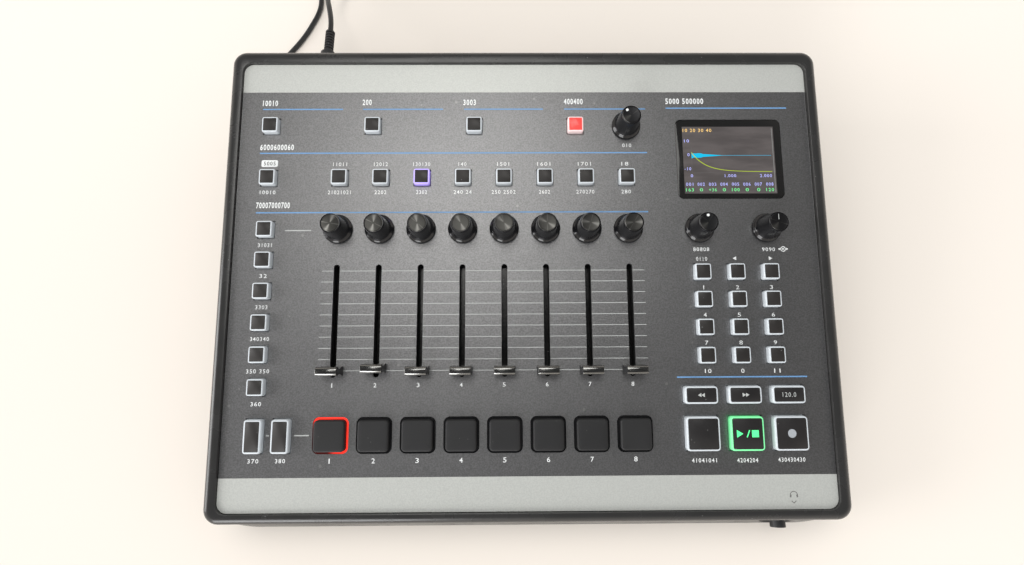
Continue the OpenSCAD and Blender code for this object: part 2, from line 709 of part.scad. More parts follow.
// The board behind the back wall, with its processor, memory and power parts
module main_board() {
    color("#1f5a3c") on_case() translate([-main_board_w / 2, main_board_y - main_board_d / 2, main_board_z])
        cube([main_board_w, main_board_d, board_t]);
    color("#26282b") on_case() translate([-main_board_w / 2, chip_y, main_board_z + board_t]) {
        for (chip = chips) translate([chip[0] * main_board_w, -chip[1] / 2, 0])
            cube([chip[1], chip[1], chip[2]]);
        for (x = capacitors) translate([x * main_board_w, 0, 0])
            cylinder(d = capacitor_d, h = capacitor_h);
    }
}
module fader_bodies() {
    color("#8c8f92") for (i = [0:channels - 1]) on_panel(channel(i), fader_y, board_top) difference() {
        translate([-fader_w / 2, -slot_len / 2 - fader_end, 0])
            cube([fader_w, slot_len + 2 * fader_end, fader_h]);
        translate([-slot_w / 2, -slot_len / 2, fader_floor]) cube([slot_w, slot_len, fader_h]);
    }
}
module pot_bodies() {
    for (p = knob_places()) on_panel(p[0], p[1], board_top) {
        color("#7d8084") difference() {
            union() {
                translate([-pot_w / 2, -pot_w / 2, 0]) cube([pot_w, pot_w, pot_h]);
                cylinder(r = bushing_r, h = board_drop + end_gap);
            }
            translate([0, 0, pot_floor]) cylinder(r = shaft_r + shaft_gap, h = board_drop);
        }
    }
}
// A frame that guides a pad and carries its light, clipped in from under the panel
module pad_light_frames() {
    outer = pad_hole - 2 * frame_gap;
    lip_w = pad_hole + 2 * frame_lip;
    inner = pad_w + 2 * button_gap;
    color("#d8d8d8") for (i = [0:channels - 1])
        on_panel(channel(i), pad_y, -panel_t - frame_lip_t) difference() {
            union() {
                rounded_block(outer, outer, panel_t + frame_lip_t, frame_r - frame_gap);
                rounded_block(lip_w, lip_w, frame_lip_t, frame_r);
            }
            translate([0, 0, -over])
                rounded_block(inner, inner, panel_t + frame_lip_t + 2 * over, pad_r + button_gap);
        }
}

// --- Sockets on the walls ---
// A panel jack: a body behind the wall and a threaded nose through it
module jack_socket(x, z, wall_y, facing, nose) {
    on_case() translate([x, wall_y, z]) rotate([0, 0, facing]) rotate([-90, 0, 0]) difference() {
        union() {
            translate([-jack_body_w / 2, -jack_body_h / 2, -wall - jack_body_d])
                cube([jack_body_w, jack_body_h, jack_body_d]);
            translate([0, 0, -wall - tiny]) cylinder(r = jack_nose_r, h = wall + nut_t + nose + tiny);
        }
        translate([0, 0, nut_t + nose - jack_bore_d]) cylinder(r = jack_bore_r, h = jack_bore_d + over);
    }
}
module jack_nut(x, z, wall_y, facing, r) {
    on_case() translate([x, wall_y, z]) rotate([0, 0, facing]) rotate([-90, 0, 0]) difference() {
        cylinder(r = r, h = nut_t);
        translate([0, 0, -over]) cylinder(r = jack_nose_r, h = nut_t + 2 * over);
    }
}
module rear_jacks() {
    color("#222326") for (x = jack_places) jack_socket(x, socket_z, rear_wall_y, 0, nose_out);
}
module headphone_jack() {
    color("#222326") jack_socket(phones_x, phones_z, phones_floor_y, 180, phones_nose);
}
module jack_nuts() {
    color("#232323") {
        for (x = jack_places) jack_nut(x, socket_z, rear_wall_y, 0, nut_r);
        jack_nut(phones_x, phones_z, phones_floor_y, 180, phones_nut_r);
    }
}
// The part of a socket behind the wall, standing on the main board; its upper face is a height above the axis
module socket_block(x, w, up, depth) {
    on_case() translate([x - w / 2, rear_wall_y - wall - depth, main_board_top])
        cube([w, depth, socket_z + up - main_board_top]);
}
module round_face(x, r, bore_r, bore_d, block_w, block_up, block_d) {
    difference() {
        union() {
            socket_block(x, block_w, block_up, block_d);
            wall_peg(x, r, wall + tiny);
        }
        wall_peg(x, bore_r, bore_d, over);
    }
}
module wall_peg(x, r, depth, out = 0) {
    on_case() translate([x, rear_wall_y - depth, socket_z]) rotate([-90, 0, 0])
        cylinder(r = r, h = depth + out);
}
module square_face(x, w, open_w, open_h, open_d, block_w, block_d) {
    difference() {
        union() {
            socket_block(x, block_w, w / 2, block_d);
            on_case() translate([x - w / 2, rear_wall_y - wall - tiny, socket_z - w / 2])
                cube([w, wall + tiny, w]);
        }
        on_case() translate([x - open_w / 2, rear_wall_y - open_d, socket_z - open_h / 2])
            cube([open_w, open_d + over, open_h]);
    }
}
// Round data sockets, the square data socket, the power inlet and the power switch's housing
module rear_sockets() {
    color("#202124") {
        for (x = din_places) round_face(x, din_r, din_well_r, din_well_d, din_w, din_w / 2, din_d);
        square_face(usb_x, usb_w, usb_open_w, usb_open_h, usb_open_d, usb_w, usb_body_d);
        round_face(inlet_x, grip_r, barrel_r + shaft_gap, barrel_len + 3, inlet_w, inlet_w / 2, inlet_d);
        square_face(power_x, power_frame_w, power_w, power_w, power_d, power_w + 3, power_d);
    }
}
module power_button() {
    cap = power_w - 2 * socket_gap;
    color("#2a2a2c") on_case() translate([power_x, rear_wall_y, socket_z]) rotate([-90, 0, 0])
        translate([0, 0, power_out]) bevelled_cap(cap, cap, power_cap_d, power_bevel);
}

// --- Buttons ---
// A cap with a flange under the panel and a stem that reaches into its switch
module push_button(place, w, d, rise = small_rise) {
    flange_low = -panel_t - switch_gap - flange_t;
    on_panel(place[0], place[1], rise) bevelled_cap(w, d, rise - flange_low, button_bevel);
    on_panel(place[0], place[1], flange_low)
        translate([-w / 2 - flange_lap, -d / 2 - flange_lap, 0])
            cube([w + 2 * flange_lap, d + 2 * flange_lap, flange_t]);
    on_panel(place[0], place[1], stem_low) cylinder(r = stem_r, h = -panel_t - flange_t - stem_low);
}
module top_buttons() {
    color("#c9cdd0") for (p = top_places()) push_button(p, small_w, small_w);
}
module programming_buttons() {
    color("#c9cdd0") for (p = program_places()) push_button(p, small_w, small_w);
}
module performance_buttons() {
    color("#c9cdd0") for (p = perform_places()) push_button(p, small_w, small_w);
}
module keypad_buttons() {
    color("#c9cdd0") for (p = key_places()) push_button(p, small_w, small_w);
}
module mute_button() {
    color("#c9cdd0") push_button(mute_places[0], mute_w, mute_d);
}
module solo_button() {
    color("#c9cdd0") push_button(mute_places[1], mute_w, mute_d);
}
module wide_button(i) {
    color("#c9cdd0") push_button(wide_places[i], wide_w, wide_d);
}
module large_button(i) {
    color("#c9cdd0") push_button(large_places[i], large_w, large_w);
}

// --- Pads, knobs and faders ---
module pad(i) {
    color("#222225") {
        on_panel(channel(i), pad_y, 0) soft_block(pad_w, pad_w, pad_rise, pad_r, 1.2);
        on_panel(channel(i), pad_y, pad_base) {
            rounded_block(pad_w, pad_w, tiny - pad_base, pad_r);
            rounded_block(pad_w + 2 * pad_flange, pad_w + 2 * pad_flange, flange_t, pad_r + pad_flange);
        }
        on_panel(channel(i), pad_y, pad_low)
            rounded_block(plunger_w, plunger_w, pad_base - pad_low + tiny, 1);
    }
}
// Skirted knob with a flat top disc, on its control's shaft
module knob(place) {
    color("#141414") on_panel(place[0], place[1], 0) rotate_extrude() polygon([
        [0, knob_lift], [knob_r, knob_lift], [knob_r, knob_lift + 1.2], [knob_r - 0.4, knob_lift + 2.2],
        [knob_r * 0.86, knob_h * 0.3], [knob_r * 0.76, knob_h * 0.5], [knob_top_r + 0.9, knob_h * 0.72],
        [knob_top_r + 0.5, knob_h - 0.5], [knob_top_r, knob_h], [0, knob_h]]);
    color("#9b9ea3") on_panel(place[0], place[1], board_top + pot_floor + end_gap)
        cylinder(r = shaft_r, h = knob_lift - board_top - pot_floor - end_gap + tiny);
}
// Outline of a fader's cap from the side: a foot, a waist and a bar with a rounded top
function cap_side() = concat(
    [[-cap_d / 2, cap_low], [cap_d / 2, cap_low], [cap_d / 2, cap_low + cap_foot],
        [cap_waist / 2, (cap_h + cap_low) / 2], [cap_bar / 2, cap_h - cap_round - cap_foot]],
    [for (t = [0:30:180]) [cap_bar / 2 * cos(t), cap_h - cap_round * (1 - sin(t))]],
    [[-cap_bar / 2, cap_h - cap_round - cap_foot], [-cap_waist / 2, (cap_h + cap_low) / 2],
        [-cap_d / 2, cap_low + cap_foot]]);
// Lever in the slot, with the cap on it
module fader(i) {
    x = channel(i);
    y = fader_rest(i);
    lever_low = board_top + fader_floor + end_gap;
    color("#9a9da1") on_panel(x, y, lever_low) translate([-lever_t / 2, -lever_d / 2, 0])
        cube([lever_t, lever_d, cap_low - lever_low + tiny]);
    color("#2e2f33") on_panel(x, y, 0) translate([-cap_w / 2, 0, 0]) rotate([90, 0, 90])
        linear_extrude(cap_w) polygon(cap_side());
}

// --- Lead, plug and wall adapter ---
// Barrel plug with a grip and a ribbed strain relief
module dc_plug() {
    chamfer = 1.5;
    ribs = 8;
    rib = relief_len / ribs;
    on_case() translate([inlet_x, rear_wall_y, socket_z]) rotate([-90, 0, 0]) {
        color("#1a1a1a") {
            cylinder(r1 = grip_r - 0.8, r2 = grip_r, h = chamfer);
            translate([0, 0, chamfer]) cylinder(r = grip_r, h = grip_len - 2 * chamfer);
            translate([0, 0, grip_len - chamfer]) cylinder(r1 = grip_r, r2 = relief_r, h = chamfer);
            for (i = [0:ribs - 1]) translate([0, 0, grip_len + i * rib]) {
                cylinder(r = relief_r, h = rib * 0.55);
                cylinder(r = relief_r - 0.7, h = rib);
            }
        }
        color("#b9bcc0") translate([0, 0, -barrel_len]) cylinder(r = barrel_r, h = barrel_len + tiny);
    }
}

// Points of a ring around a route's point, square to the route
function along(route, i) =
    let (a = route[max(i - 1, 0)], b = route[min(i + 1, len(route) - 1)]) (b - a) / norm(b - a);
function ring(route, i, sides) =
    let (t = along(route, i), s = cross(t, [0, 0, 1]) / norm(cross(t, [0, 0, 1])), u = cross(s, t))
    [for (k = [0:sides - 1]) route[i] + lead_d / 2 * (cos(360 * k / sides) * s + sin(360 * k / sides) * u)];
module lead_tube(route, sides = 8) {
    n = len(route);
    polyhedron(
        points = [for (i = [0:n - 1]) each ring(route, i, sides)],
        faces = concat(
            [[for (k = [0:sides - 1]) k]],
            [for (i = [0:n - 2], k = [0:sides - 1]) let (m = (k + 1) % sides)
                [i * sides + k, (i + 1) * sides + k, (i + 1) * sides + m, i * sides + m]],
            [[for (k = [sides - 1:-1:0]) (n - 1) * sides + k]]));
}
module dc_lead() {
    color("#141414") {
        lead_tube(concat([lead_start], lead_route));
        lead_tube(concat(tail_route, [tail_end]));
    }
}
module dc_lead_coil() {
    color("#141414") translate([coil_place[0], coil_place[1], 0]) rotate_extrude()
        translate([coil_turn_r - coil_half, 0]) square([2 * coil_half, coil_layers * lead_d]);
}
// A flat two-blade adapter, lying on its side, with the lead leaving low at one end
module wall_adapter() {
    color("#1b1b1d") {
        translate([adapter_place[0] - adapter_l / 2, adapter_place[1], adapter_h / 2]) rotate([0, 90, 0])
            rounded_block(adapter_h, adapter_w, adapter_l, 5);
        translate(tail_end) rotate([0, 90, 0])
            cylinder(r1 = lead_d / 2 + 0.6, r2 = relief_r, h = tail_relief);
    }
    color("#b9bcc0") for (side = [-1, 1])
        translate([adapter_place[0] + adapter_l / 2,
                adapter_place[1] + side * blade_half - blade[1] / 2, (adapter_h - blade[2]) / 2])
            cube(blade);
}

case_top();
case_bottom();
face_panel();
screen_window();
display_module();
control_board();
main_board();
rear_jacks();
jack_nuts();
rear_sockets();
headphone_jack();
fader_bodies();
pot_bodies();
pad_light_frames();
rubber_feet();
case_screws();
dc_plug();
dc_lead();
dc_lead_coil();
wall_adapter();
knob(knob_places()[0]);  // channel_knob_1
knob(knob_places()[1]);  // channel_knob_2
knob(knob_places()[2]);  // channel_knob_3
knob(knob_places()[3]);  // channel_knob_4
knob(knob_places()[4]);  // channel_knob_5
knob(knob_places()[5]);  // channel_knob_6
knob(knob_places()[6]);  // channel_knob_7
knob(knob_places()[7]);  // channel_knob_8
knob(master_knob(0));  // gain_knob
knob(master_knob(1));  // volume_knob
knob(master_knob(2));  // select_knob
fader(0);  // fader_1
fader(1);  // fader_2
fader(2);  // fader_3
fader(3);  // fader_4
fader(4);  // fader_5
fader(5);  // fader_6
fader(6);  // fader_7
fader(7);  // fader_8
pad(0);  // pad_1
pad(1);  // pad_2
pad(2);  // pad_3
pad(3);  // pad_4
pad(4);  // pad_5
pad(5);  // pad_6
pad(6);  // pad_7
pad(7);  // pad_8
mute_button();
solo_button();
wide_button(0);  // rewind_button
wide_button(1);  // forward_button
wide_button(2);  // tempo_button
large_button(0);  // tap_button
large_button(1);  // run_button
large_button(2);  // record_button
top_buttons();
programming_buttons();
performance_buttons();
keypad_buttons();
power_button();
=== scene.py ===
"""Drum machine: the dressed model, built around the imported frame.

Sizes are in millimetres and places on the sloping top are in panel coordinates: x to the right and
y up the slope, both from the middle of the case, and w above the face panel. Every finished mesh is in
metres, in the frame's own axes.
"""

import logging
import math
from dataclasses import dataclass
from enum import Enum
from typing import Any, Callable, Iterator, Optional, Sequence, Union

import bmesh
import bpy
from mathutils import Matrix, Vector


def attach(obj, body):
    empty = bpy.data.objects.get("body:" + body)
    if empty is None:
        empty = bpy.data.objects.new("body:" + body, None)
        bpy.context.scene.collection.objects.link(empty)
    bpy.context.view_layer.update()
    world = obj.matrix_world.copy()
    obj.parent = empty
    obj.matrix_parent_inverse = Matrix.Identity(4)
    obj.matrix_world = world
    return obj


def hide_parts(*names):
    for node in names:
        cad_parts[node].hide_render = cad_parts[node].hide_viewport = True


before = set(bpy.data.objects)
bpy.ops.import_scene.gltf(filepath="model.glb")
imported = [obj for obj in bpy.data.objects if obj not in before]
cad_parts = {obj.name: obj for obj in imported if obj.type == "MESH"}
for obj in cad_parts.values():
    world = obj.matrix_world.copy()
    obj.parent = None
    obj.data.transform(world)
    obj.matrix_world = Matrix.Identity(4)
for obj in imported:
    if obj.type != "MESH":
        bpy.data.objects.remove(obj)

LOG = logging.getLogger("drum_machine")
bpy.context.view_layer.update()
MM = 0.001
NEAR = 0.001  # how far apart two heights may be and still count as one, in millimetres
Colour = tuple[float, float, float]
Point = tuple[float, float]
Place3 = tuple[float, float, float]
BLACK: Colour = (0.0, 0.0, 0.0)
NOISE = (0.3, 0.7)  # the range that a Noise Texture mostly keeps to
STILL = "case"  # the body that still pieces ride on


def shade(red: int, green: int, blue: int) -> Colour:
    """Turns an 8-bit screen colour into the linear colour that a shader takes."""
    def linear(value: int) -> float:
        """Turns one channel."""
        part = value / 255
        return part / 12.92 if part <= 0.04045 else ((part + 0.055) / 1.055) ** 2.4
    return linear(red), linear(green), linear(blue)


def dim(colour: Colour, factor: float) -> Colour:
    """Scales a colour."""
    return tuple(part * factor for part in colour)


def operation(name: str, swapped: bool = False) -> Callable[["Wire", Any], "Wire"]:
    """Makes the method of an operator or of its reflected form, which adds a Math node."""
    def method(wire: "Wire", other: Any) -> "Wire":
        """Adds the Math node."""
        return wire.tree.math(name, other, wire) if swapped else wire.tree.math(name, wire, other)
    return method


class Wire:
    """A node's output socket that takes part in arithmetic: each operator adds a Math node."""

    def __init__(self, tree: "Tree", socket: bpy.types.NodeSocket) -> None:
        """Keeps the socket and the tree that it belongs to."""
        self.tree = tree
        self.socket = socket

    __add__, __radd__ = operation("ADD"), operation("ADD", True)
    __sub__, __rsub__ = operation("SUBTRACT"), operation("SUBTRACT", True)
    __mul__, __rmul__ = operation("MULTIPLY"), operation("MULTIPLY", True)
    __truediv__, __rtruediv__ = operation("DIVIDE"), operation("DIVIDE", True)
    __pow__ = operation("POWER")
    __lt__, __gt__ = operation("LESS_THAN"), operation("GREATER_THAN")

    def __abs__(self) -> "Wire":
        """Absolute value."""
        return self.tree.math("ABSOLUTE", self)

    def ramp(self, low: float, high: float, out_low: float = 0.0, out_high: float = 1.0) -> "Wire":
        """Maps the range low..high smoothly onto out_low..out_high, clamped at both ends."""
        return self.tree.node("ShaderNodeMapRange", {"interpolation_type": "SMOOTHSTEP", "clamp": True},
                              {"Value": self, "From Min": low, "From Max": high,
                               "To Min": out_low, "To Max": out_high})["Result"]


class Node:
    """A node of a tree, whose outputs are read by name as wires."""

    def __init__(self, tree: "Tree", raw: bpy.types.Node) -> None:
        """Keeps the raw node and its tree."""
        self.tree = tree
        self.raw = raw

    def __getitem__(self, name: Union[str, int]) -> Wire:
        """Gives an output socket as a wire."""
        return Wire(self.tree, self.raw.outputs[name])


class Tree:
    """The node tree of a material or of the world, with one method for any node."""

    def __init__(self, owner: Union[bpy.types.Material, bpy.types.World]) -> None:
        """Empties the owner's tree."""
        self.owner = owner
        owner.use_nodes = True
        self.raw = owner.node_tree
        self.raw.nodes.clear()

    def node(self, kind: str, settings: Optional[dict[str, Any]] = None,
             inputs: Optional[dict[Union[str, int], Any]] = None) -> Node:
        """Adds any node.

        Args:
            kind: the node's type name.
            settings: properties of the node, set before its inputs; a ramp's stops go under "stops".
            inputs: values or wires for its input sockets, by name or number.

        Returns:
            The node, whose outputs are read by name.
        """
        raw = self.raw.nodes.new(kind)
        for key, value in (settings or {}).items():
            if key == "stops":
                self._set_stops(raw.color_ramp, value)
            else:
                setattr(raw, key, value)
        for key, value in (inputs or {}).items():
            socket = self._free_input(raw, key)
            if isinstance(value, Node):
                value = value[0]
            if isinstance(value, Wire):
                self.raw.links.new(value.socket, socket)
            elif socket.type == "RGBA" and len(value) == 3:
                socket.default_value = (*value, 1.0)
            else:
                socket.default_value = value
        return Node(self, raw)

    @staticmethod
    def _free_input(raw: bpy.types.Node, key: Union[str, int]) -> bpy.types.NodeSocket:
        """Finds an enabled input by name, or one by number."""
        if isinstance(key, int):
            return raw.inputs[key]
        return next(s for s in raw.inputs if s.name == key and s.enabled)

    @staticmethod
    def _set_stops(ramp: bpy.types.ColorRamp, stops: Sequence[tuple[float, Colour]]) -> None:
        """Gives a colour ramp its stops."""
        while len(ramp.elements) > 1:
            ramp.elements.remove(ramp.elements[-1])
        for index, (place, colour) in enumerate(stops):
            element = ramp.elements[0] if index == 0 else ramp.elements.new(place)
            element.position = place
            element.color = (*colour, 1.0)

    def math(self, operation: str, *values: Any) -> Wire:
        """Adds a Math node of one, two or three inputs."""
        return self.node("ShaderNodeMath", {"operation": operation}, dict(enumerate(values)))["Value"]

    def mix(self, factor: Any, first: Any, second: Any) -> Wire:
        """Mixes two colours by a factor."""
        return self.node("ShaderNodeMix", {"data_type": "RGBA"},
                         {"Factor": factor, "A": first, "B": second})["Result"]

    def place(self, centre: Place3 = (0, 0, 0), turn: Place3 = (0, 0, 0), scale: Place3 = (1, 1, 1)) -> Wire:
        """Gives Object coordinates in millimetres, measured from a centre and along turned axes.

        Args:
            centre: the point in metres that becomes the origin.
            turn: the turn of the axes, in radians.
            scale: a stretch of each axis, after the turn.

        Returns:
            A vector wire.
        """
        here = self.node("ShaderNodeTexCoord")["Object"]
        moved = self.node("ShaderNodeVectorMath", {"operation": "SUBTRACT"}, {0: here, 1: centre})["Vector"]
        return self.node("ShaderNodeMapping", {"vector_type": "POINT"},
                         {"Vector": moved, "Rotation": turn,
                          "Scale": tuple(1000 * s for s in scale)})["Vector"]

    def split(self, vector: Wire) -> tuple[Wire, Wire, Wire]:
        """Splits a vector into its three parts."""
        parts = self.node("ShaderNodeSeparateXYZ", None, {0: vector})
        return parts["X"], parts["Y"], parts["Z"]

    def panel(self, centre: Place3) -> tuple[Wire, Wire, Wire]:
        """Gives x, y and height in millimetres along the face panel's axes, from a place on it."""
        return self.split(self.place(PANEL.point(*centre), (-PANEL.tilt, 0, 0)))

    def noise(self, where: Wire, size: float, detail: float = 2.0, rough: float = 0.5) -> Wire:
        """Gives a cloudy pattern whose features are about a size in millimetres."""
        return self.node("ShaderNodeTexNoise", None, {"Vector": where, "Scale": 1.0 / size,
                                                      "Detail": detail, "Roughness": rough})["Fac"]

    def specks(self, where: Wire, size: float, share: float) -> Wire:
        """Gives sparse round specks, 1 on a speck and 0 beside it."""
        cell = self.node("ShaderNodeTexVoronoi", {"feature": "F1"},
                         {"Vector": where, "Scale": 1.0 / size, "Randomness": 1.0})
        red = self.node("ShaderNodeSeparateColor", None, {0: cell["Color"]})["Red"]
        return (cell["Distance"] < 0.16) * (red > 1 - share)

    def bump(self, height: Wire, depth: float, strength: float = 1.0) -> Wire:
        """Gives a normal from a height of 0..1 and a depth in millimetres."""
        return self.node("ShaderNodeBump", None,
                         {"Strength": strength, "Distance": depth * MM, "Height": height})["Normal"]

    def surface(self, **sockets: Any) -> bpy.types.Material:
        """Ends the tree in a Principled shader.

        Args:
            sockets: values or wires, by socket name with underscores for spaces.

        Returns:
            The finished material.
        """
        inputs = {name.replace("_", " "): value for name, value in sockets.items()}
        shader = self.node("ShaderNodeBsdfPrincipled", None, inputs)
        self.node("ShaderNodeOutputMaterial", None, {"Surface": shader["BSDF"]})
        return self.owner


@dataclass(frozen=True)
class Finish:
    """A finish that is mixed once and kept; each kind gives its own nodes in mix()."""

    name: str

    def mix(self, tree: Tree) -> bpy.types.Material:
        """Builds the nodes of this finish."""
        raise NotImplementedError

    def material(self) -> bpy.types.Material:
        """Gives the material, built the first time that it is asked for."""
        kept = bpy.data.materials.get(self.name)
        return kept or self.mix(Tree(bpy.data.materials.new(self.name)))


@dataclass(frozen=True)
class MouldedPlastic(Finish):
    """Hard moulded plastic or a rubbery one: fine grain, faint clouding and a little dust."""

    colour: Colour = (0.02, 0.02, 0.02)
    roughness: float = 0.4
    grain: float = 0.35
    depth: float = 0.012
    clouding: float = 0.12
    dust: float = 0.02
    dust_colour: Colour = (0.3, 0.3, 0.29)

    def mix(self, tree: Tree) -> bpy.types.Material:
        """Builds the nodes: grain for the bump, clouds for colour and roughness, sparse dust."""
        where = tree.place()
        grain = tree.noise(where, self.grain, 2)
        clouds = tree.noise(where, 22, 4, 0.55)
        dust = tree.specks(where, 1.6, self.dust)
        pale = tuple(min(1.0, c * (1 + 2 * self.clouding) + 0.002) for c in self.colour)
        body = tree.mix(clouds, dim(self.colour, 1 - self.clouding), pale)
        colour = tree.mix(dust * 0.6, body, self.dust_colour)
        rough = clouds.ramp(*NOISE, self.roughness - 0.05, self.roughness + 0.05) + dust * 0.3
        return tree.surface(Base_Color=colour, Roughness=rough, Normal=tree.bump(grain, self.depth, 0.6))


@dataclass(frozen=True)
class PanelPaint(Finish):
    """Textured sheet-metal paint: a fine orange peel with light and dark grains."""

    colour: Colour = (0.09, 0.093, 0.096)
    speckle: float = 0.3
    roughness: float = 0.4
    metallic: float = 0.0
    depth: float = 0.02

    def mix(self, tree: Tree) -> bpy.types.Material:
        """Builds the nodes: light and dark grains, a slow drift of shade and sparse dust."""
        where = tree.place()
        fine = tree.noise(where, 0.42, 3, 0.65)
        grains = tree.noise(where, 0.85, 2, 0.6)
        drift = tree.noise(where, 60, 2, 0.4)
        dark, pale = (dim(self.colour, 1 + sign * self.speckle) for sign in (-1, 1.1))
        body = tree.mix(grains.ramp(0.36, 0.64), dark, pale)
        drifted = tree.mix(drift.ramp(*NOISE, 0.0, 0.14), body, pale)
        colour = tree.mix(tree.specks(where, 5.5, 0.04) * 0.35, drifted, (0.5, 0.5, 0.48))
        rough = fine.ramp(*NOISE, self.roughness - 0.06, self.roughness + 0.06)
        return tree.surface(Base_Color=colour, Roughness=rough, Metallic=self.metallic,
                            Normal=tree.bump(fine * 0.5 + grains * 0.5, self.depth, 0.8))


@dataclass(frozen=True)
class PrintInk(Finish):
    """Screen-printed ink: flat, slightly uneven in its density."""

    colour: Colour = (0.8, 0.8, 0.78)
    roughness: float = 0.5
    glow: float = 0.0

    def mix(self, tree: Tree) -> bpy.types.Material:
        """Builds the nodes: a thin ink over a grainy ground."""
        where = tree.place()
        grain = tree.noise(where, 0.3, 3, 0.7)
        colour = tree.mix(grain.ramp(*NOISE), dim(self.colour, 0.82), self.colour)
        return tree.surface(Base_Color=colour, Roughness=self.roughness, Emission_Color=colour,
                            Emission_Strength=self.glow, Normal=tree.bump(grain, 0.01, 0.5))


@dataclass(frozen=True)
class LitPlastic(Finish):
    """Milky plastic with a lamp behind it, whose glow may fade towards its foot, and whose colour and glow
    may be darkened on the lower left of a centre point; both fades are painted shade.
    """

    colour: Colour = (0.6, 0.6, 0.6)
    glow_colour: Colour = (1.0, 1.0, 1.0)
    glow: float = 0.0
    # heights over which the glow fades as painted shade, and the centre of a painted shade on one side
    fade_low: float = 0.0
    fade_high: float = 0.0
    painted_shade_centre: Optional[Point] = None
    roughness: float = 0.32

    def mix(self, tree: Tree) -> bpy.types.Material:
        """Builds the nodes: a milky body, with the lamp's uneven light, faded downwards and on one side as
        painted shade.
        """
        where = tree.place()
        milk = tree.noise(where, 3.0, 3, 0.5)
        grain = tree.noise(where, 0.3, 2)
        body = tree.mix(milk, dim(self.colour, 0.88), self.colour)
        light = tree.mix(milk.ramp(*NOISE), dim(self.glow_colour, 0.85), self.glow_colour)
        # painted shade: the glow fades out towards the panel
        if self.fade_high > self.fade_low:
            height = tree.panel((0, 0, 0))[2]
            light = tree.mix(height.ramp(self.fade_low, self.fade_high), BLACK, light)
        # painted shade: colour and glow darkened on the lower left of the centre point
        if self.painted_shade_centre:
            x, y, _ = tree.panel((*self.painted_shade_centre, 0))
            out_of_painted_shade = (x + y * 0.7).ramp(-9.0, -3.0)
            body = tree.mix(out_of_painted_shade, dim(self.colour, 0.06), body)
            light = tree.mix(out_of_painted_shade, dim(self.glow_colour, 0.06), light)
        return tree.surface(Base_Color=body, Roughness=self.roughness, Emission_Color=light,
                            Emission_Strength=self.glow, Coat_Weight=0.15, Coat_Roughness=0.1,
                            Normal=tree.bump(grain, 0.006, 0.4))


@dataclass(frozen=True)
class Metal(Finish):
    """Plain metal with a fine grain, drawn out along one axis where it is brushed."""

    colour: Colour = (0.5, 0.5, 0.5)
    roughness: float = 0.3
    stretch: Place3 = (1.0, 1.0, 1.0)
    grain: float = 0.25

    def mix(self, tree: Tree) -> bpy.types.Material:
        """Builds the nodes: drawn grain in colour, roughness and bump."""
        where = tree.place(scale=self.stretch)
        grain = tree.noise(where, self.grain, 3, 0.6)
        stain = tree.noise(tree.place(), 6, 3, 0.5)
        colour = tree.mix(grain.ramp(*NOISE), dim(self.colour, 0.78), self.colour)
        rough = grain.ramp(*NOISE, self.roughness - 0.07, self.roughness + 0.07) + stain * 0.05
        return tree.surface(Base_Color=colour, Roughness=rough, Metallic=1.0,
                            Normal=tree.bump(grain, 0.01, 0.5))


@dataclass(frozen=True)
class SpunDisc(Finish):
    """Turned metal: fine rings, with a painted highlight: pale sectors and thin lines painted into the colour
    at fixed angles, standing for where the turned face catches the lamps.
    """

    centre: Place3 = (0, 0, 0)
    colour: Colour = (0.1, 0.1, 0.1)
    # the colour of the painted highlight, and the angles of its sectors and of its thin lines
    bright: Colour = (0.5, 0.5, 0.5)
    highlight_wedges: tuple[float, ...] = (70.0, 250.0)
    lines: tuple[float, ...] = ()
    width: float = 26.0
    roughness: float = 0.35

    def mix(self, tree: Tree) -> bpy.types.Material:
        """Builds the nodes: a painted highlight as a conical gradient round the centre, and rings by radius.
        """
        x, y, _ = tree.panel(self.centre)
        angle = tree.math("ARCTAN2", y, x)
        radius = tree.math("SQRT", x * x + y * y)
        # painted highlight: pale sectors and lines mixed into the base colour, fading in from the centre
        painted_gleam: Any = 0.0
        for wedge, sharp, share in [*((w, 2600 / self.width ** 1.6, 1.0) for w in self.highlight_wedges),
                                    *((w, 500.0, 0.45) for w in self.lines)]:
            turned = tree.math("COSINE", angle - math.radians(wedge))
            painted_gleam = painted_gleam + tree.math("MAXIMUM", turned, 0.0) ** sharp * share
        outwards = tree.node("ShaderNodeCombineXYZ", None, {"X": radius * 9.0})["Vector"]
        rings = tree.noise(outwards, 1.0, 3, 0.7)
        inside = radius.ramp(0.2, 1.0)
        colour = tree.mix(tree.math("MINIMUM", painted_gleam * inside, 1.0), self.colour, self.bright)
        ringed = tree.mix(rings.ramp(0.35, 0.65) * 0.35, colour, dim(self.colour, 0.5))
        rough = rings.ramp(*NOISE, self.roughness - 0.06, self.roughness + 0.08)
        return tree.surface(Base_Color=ringed, Roughness=rough, Metallic=0.85,
                            Normal=tree.bump(rings, 0.012, 0.5))


@dataclass(frozen=True)
class CordJacket(Finish):
    """Soft cord jacket with a faint sheen and lint."""

    colour: Colour = (0.016, 0.016, 0.017)

    def mix(self, tree: Tree) -> bpy.types.Material:
        """Builds the nodes: fine grain and a few specks of lint."""
        where = tree.place()
        grain = tree.noise(where, 0.35, 3)
        lint = tree.specks(where, 2.2, 0.04)
        patches = tree.noise(where, 14, 3)
        body = tree.mix(patches, dim(self.colour, 0.8), dim(self.colour, 1.5))
        colour = tree.mix(lint * 0.5, body, (0.2, 0.2, 0.19))
        return tree.surface(Base_Color=colour, Roughness=patches.ramp(*NOISE, 0.42, 0.55),
                            Normal=tree.bump(grain, 0.015, 0.6))


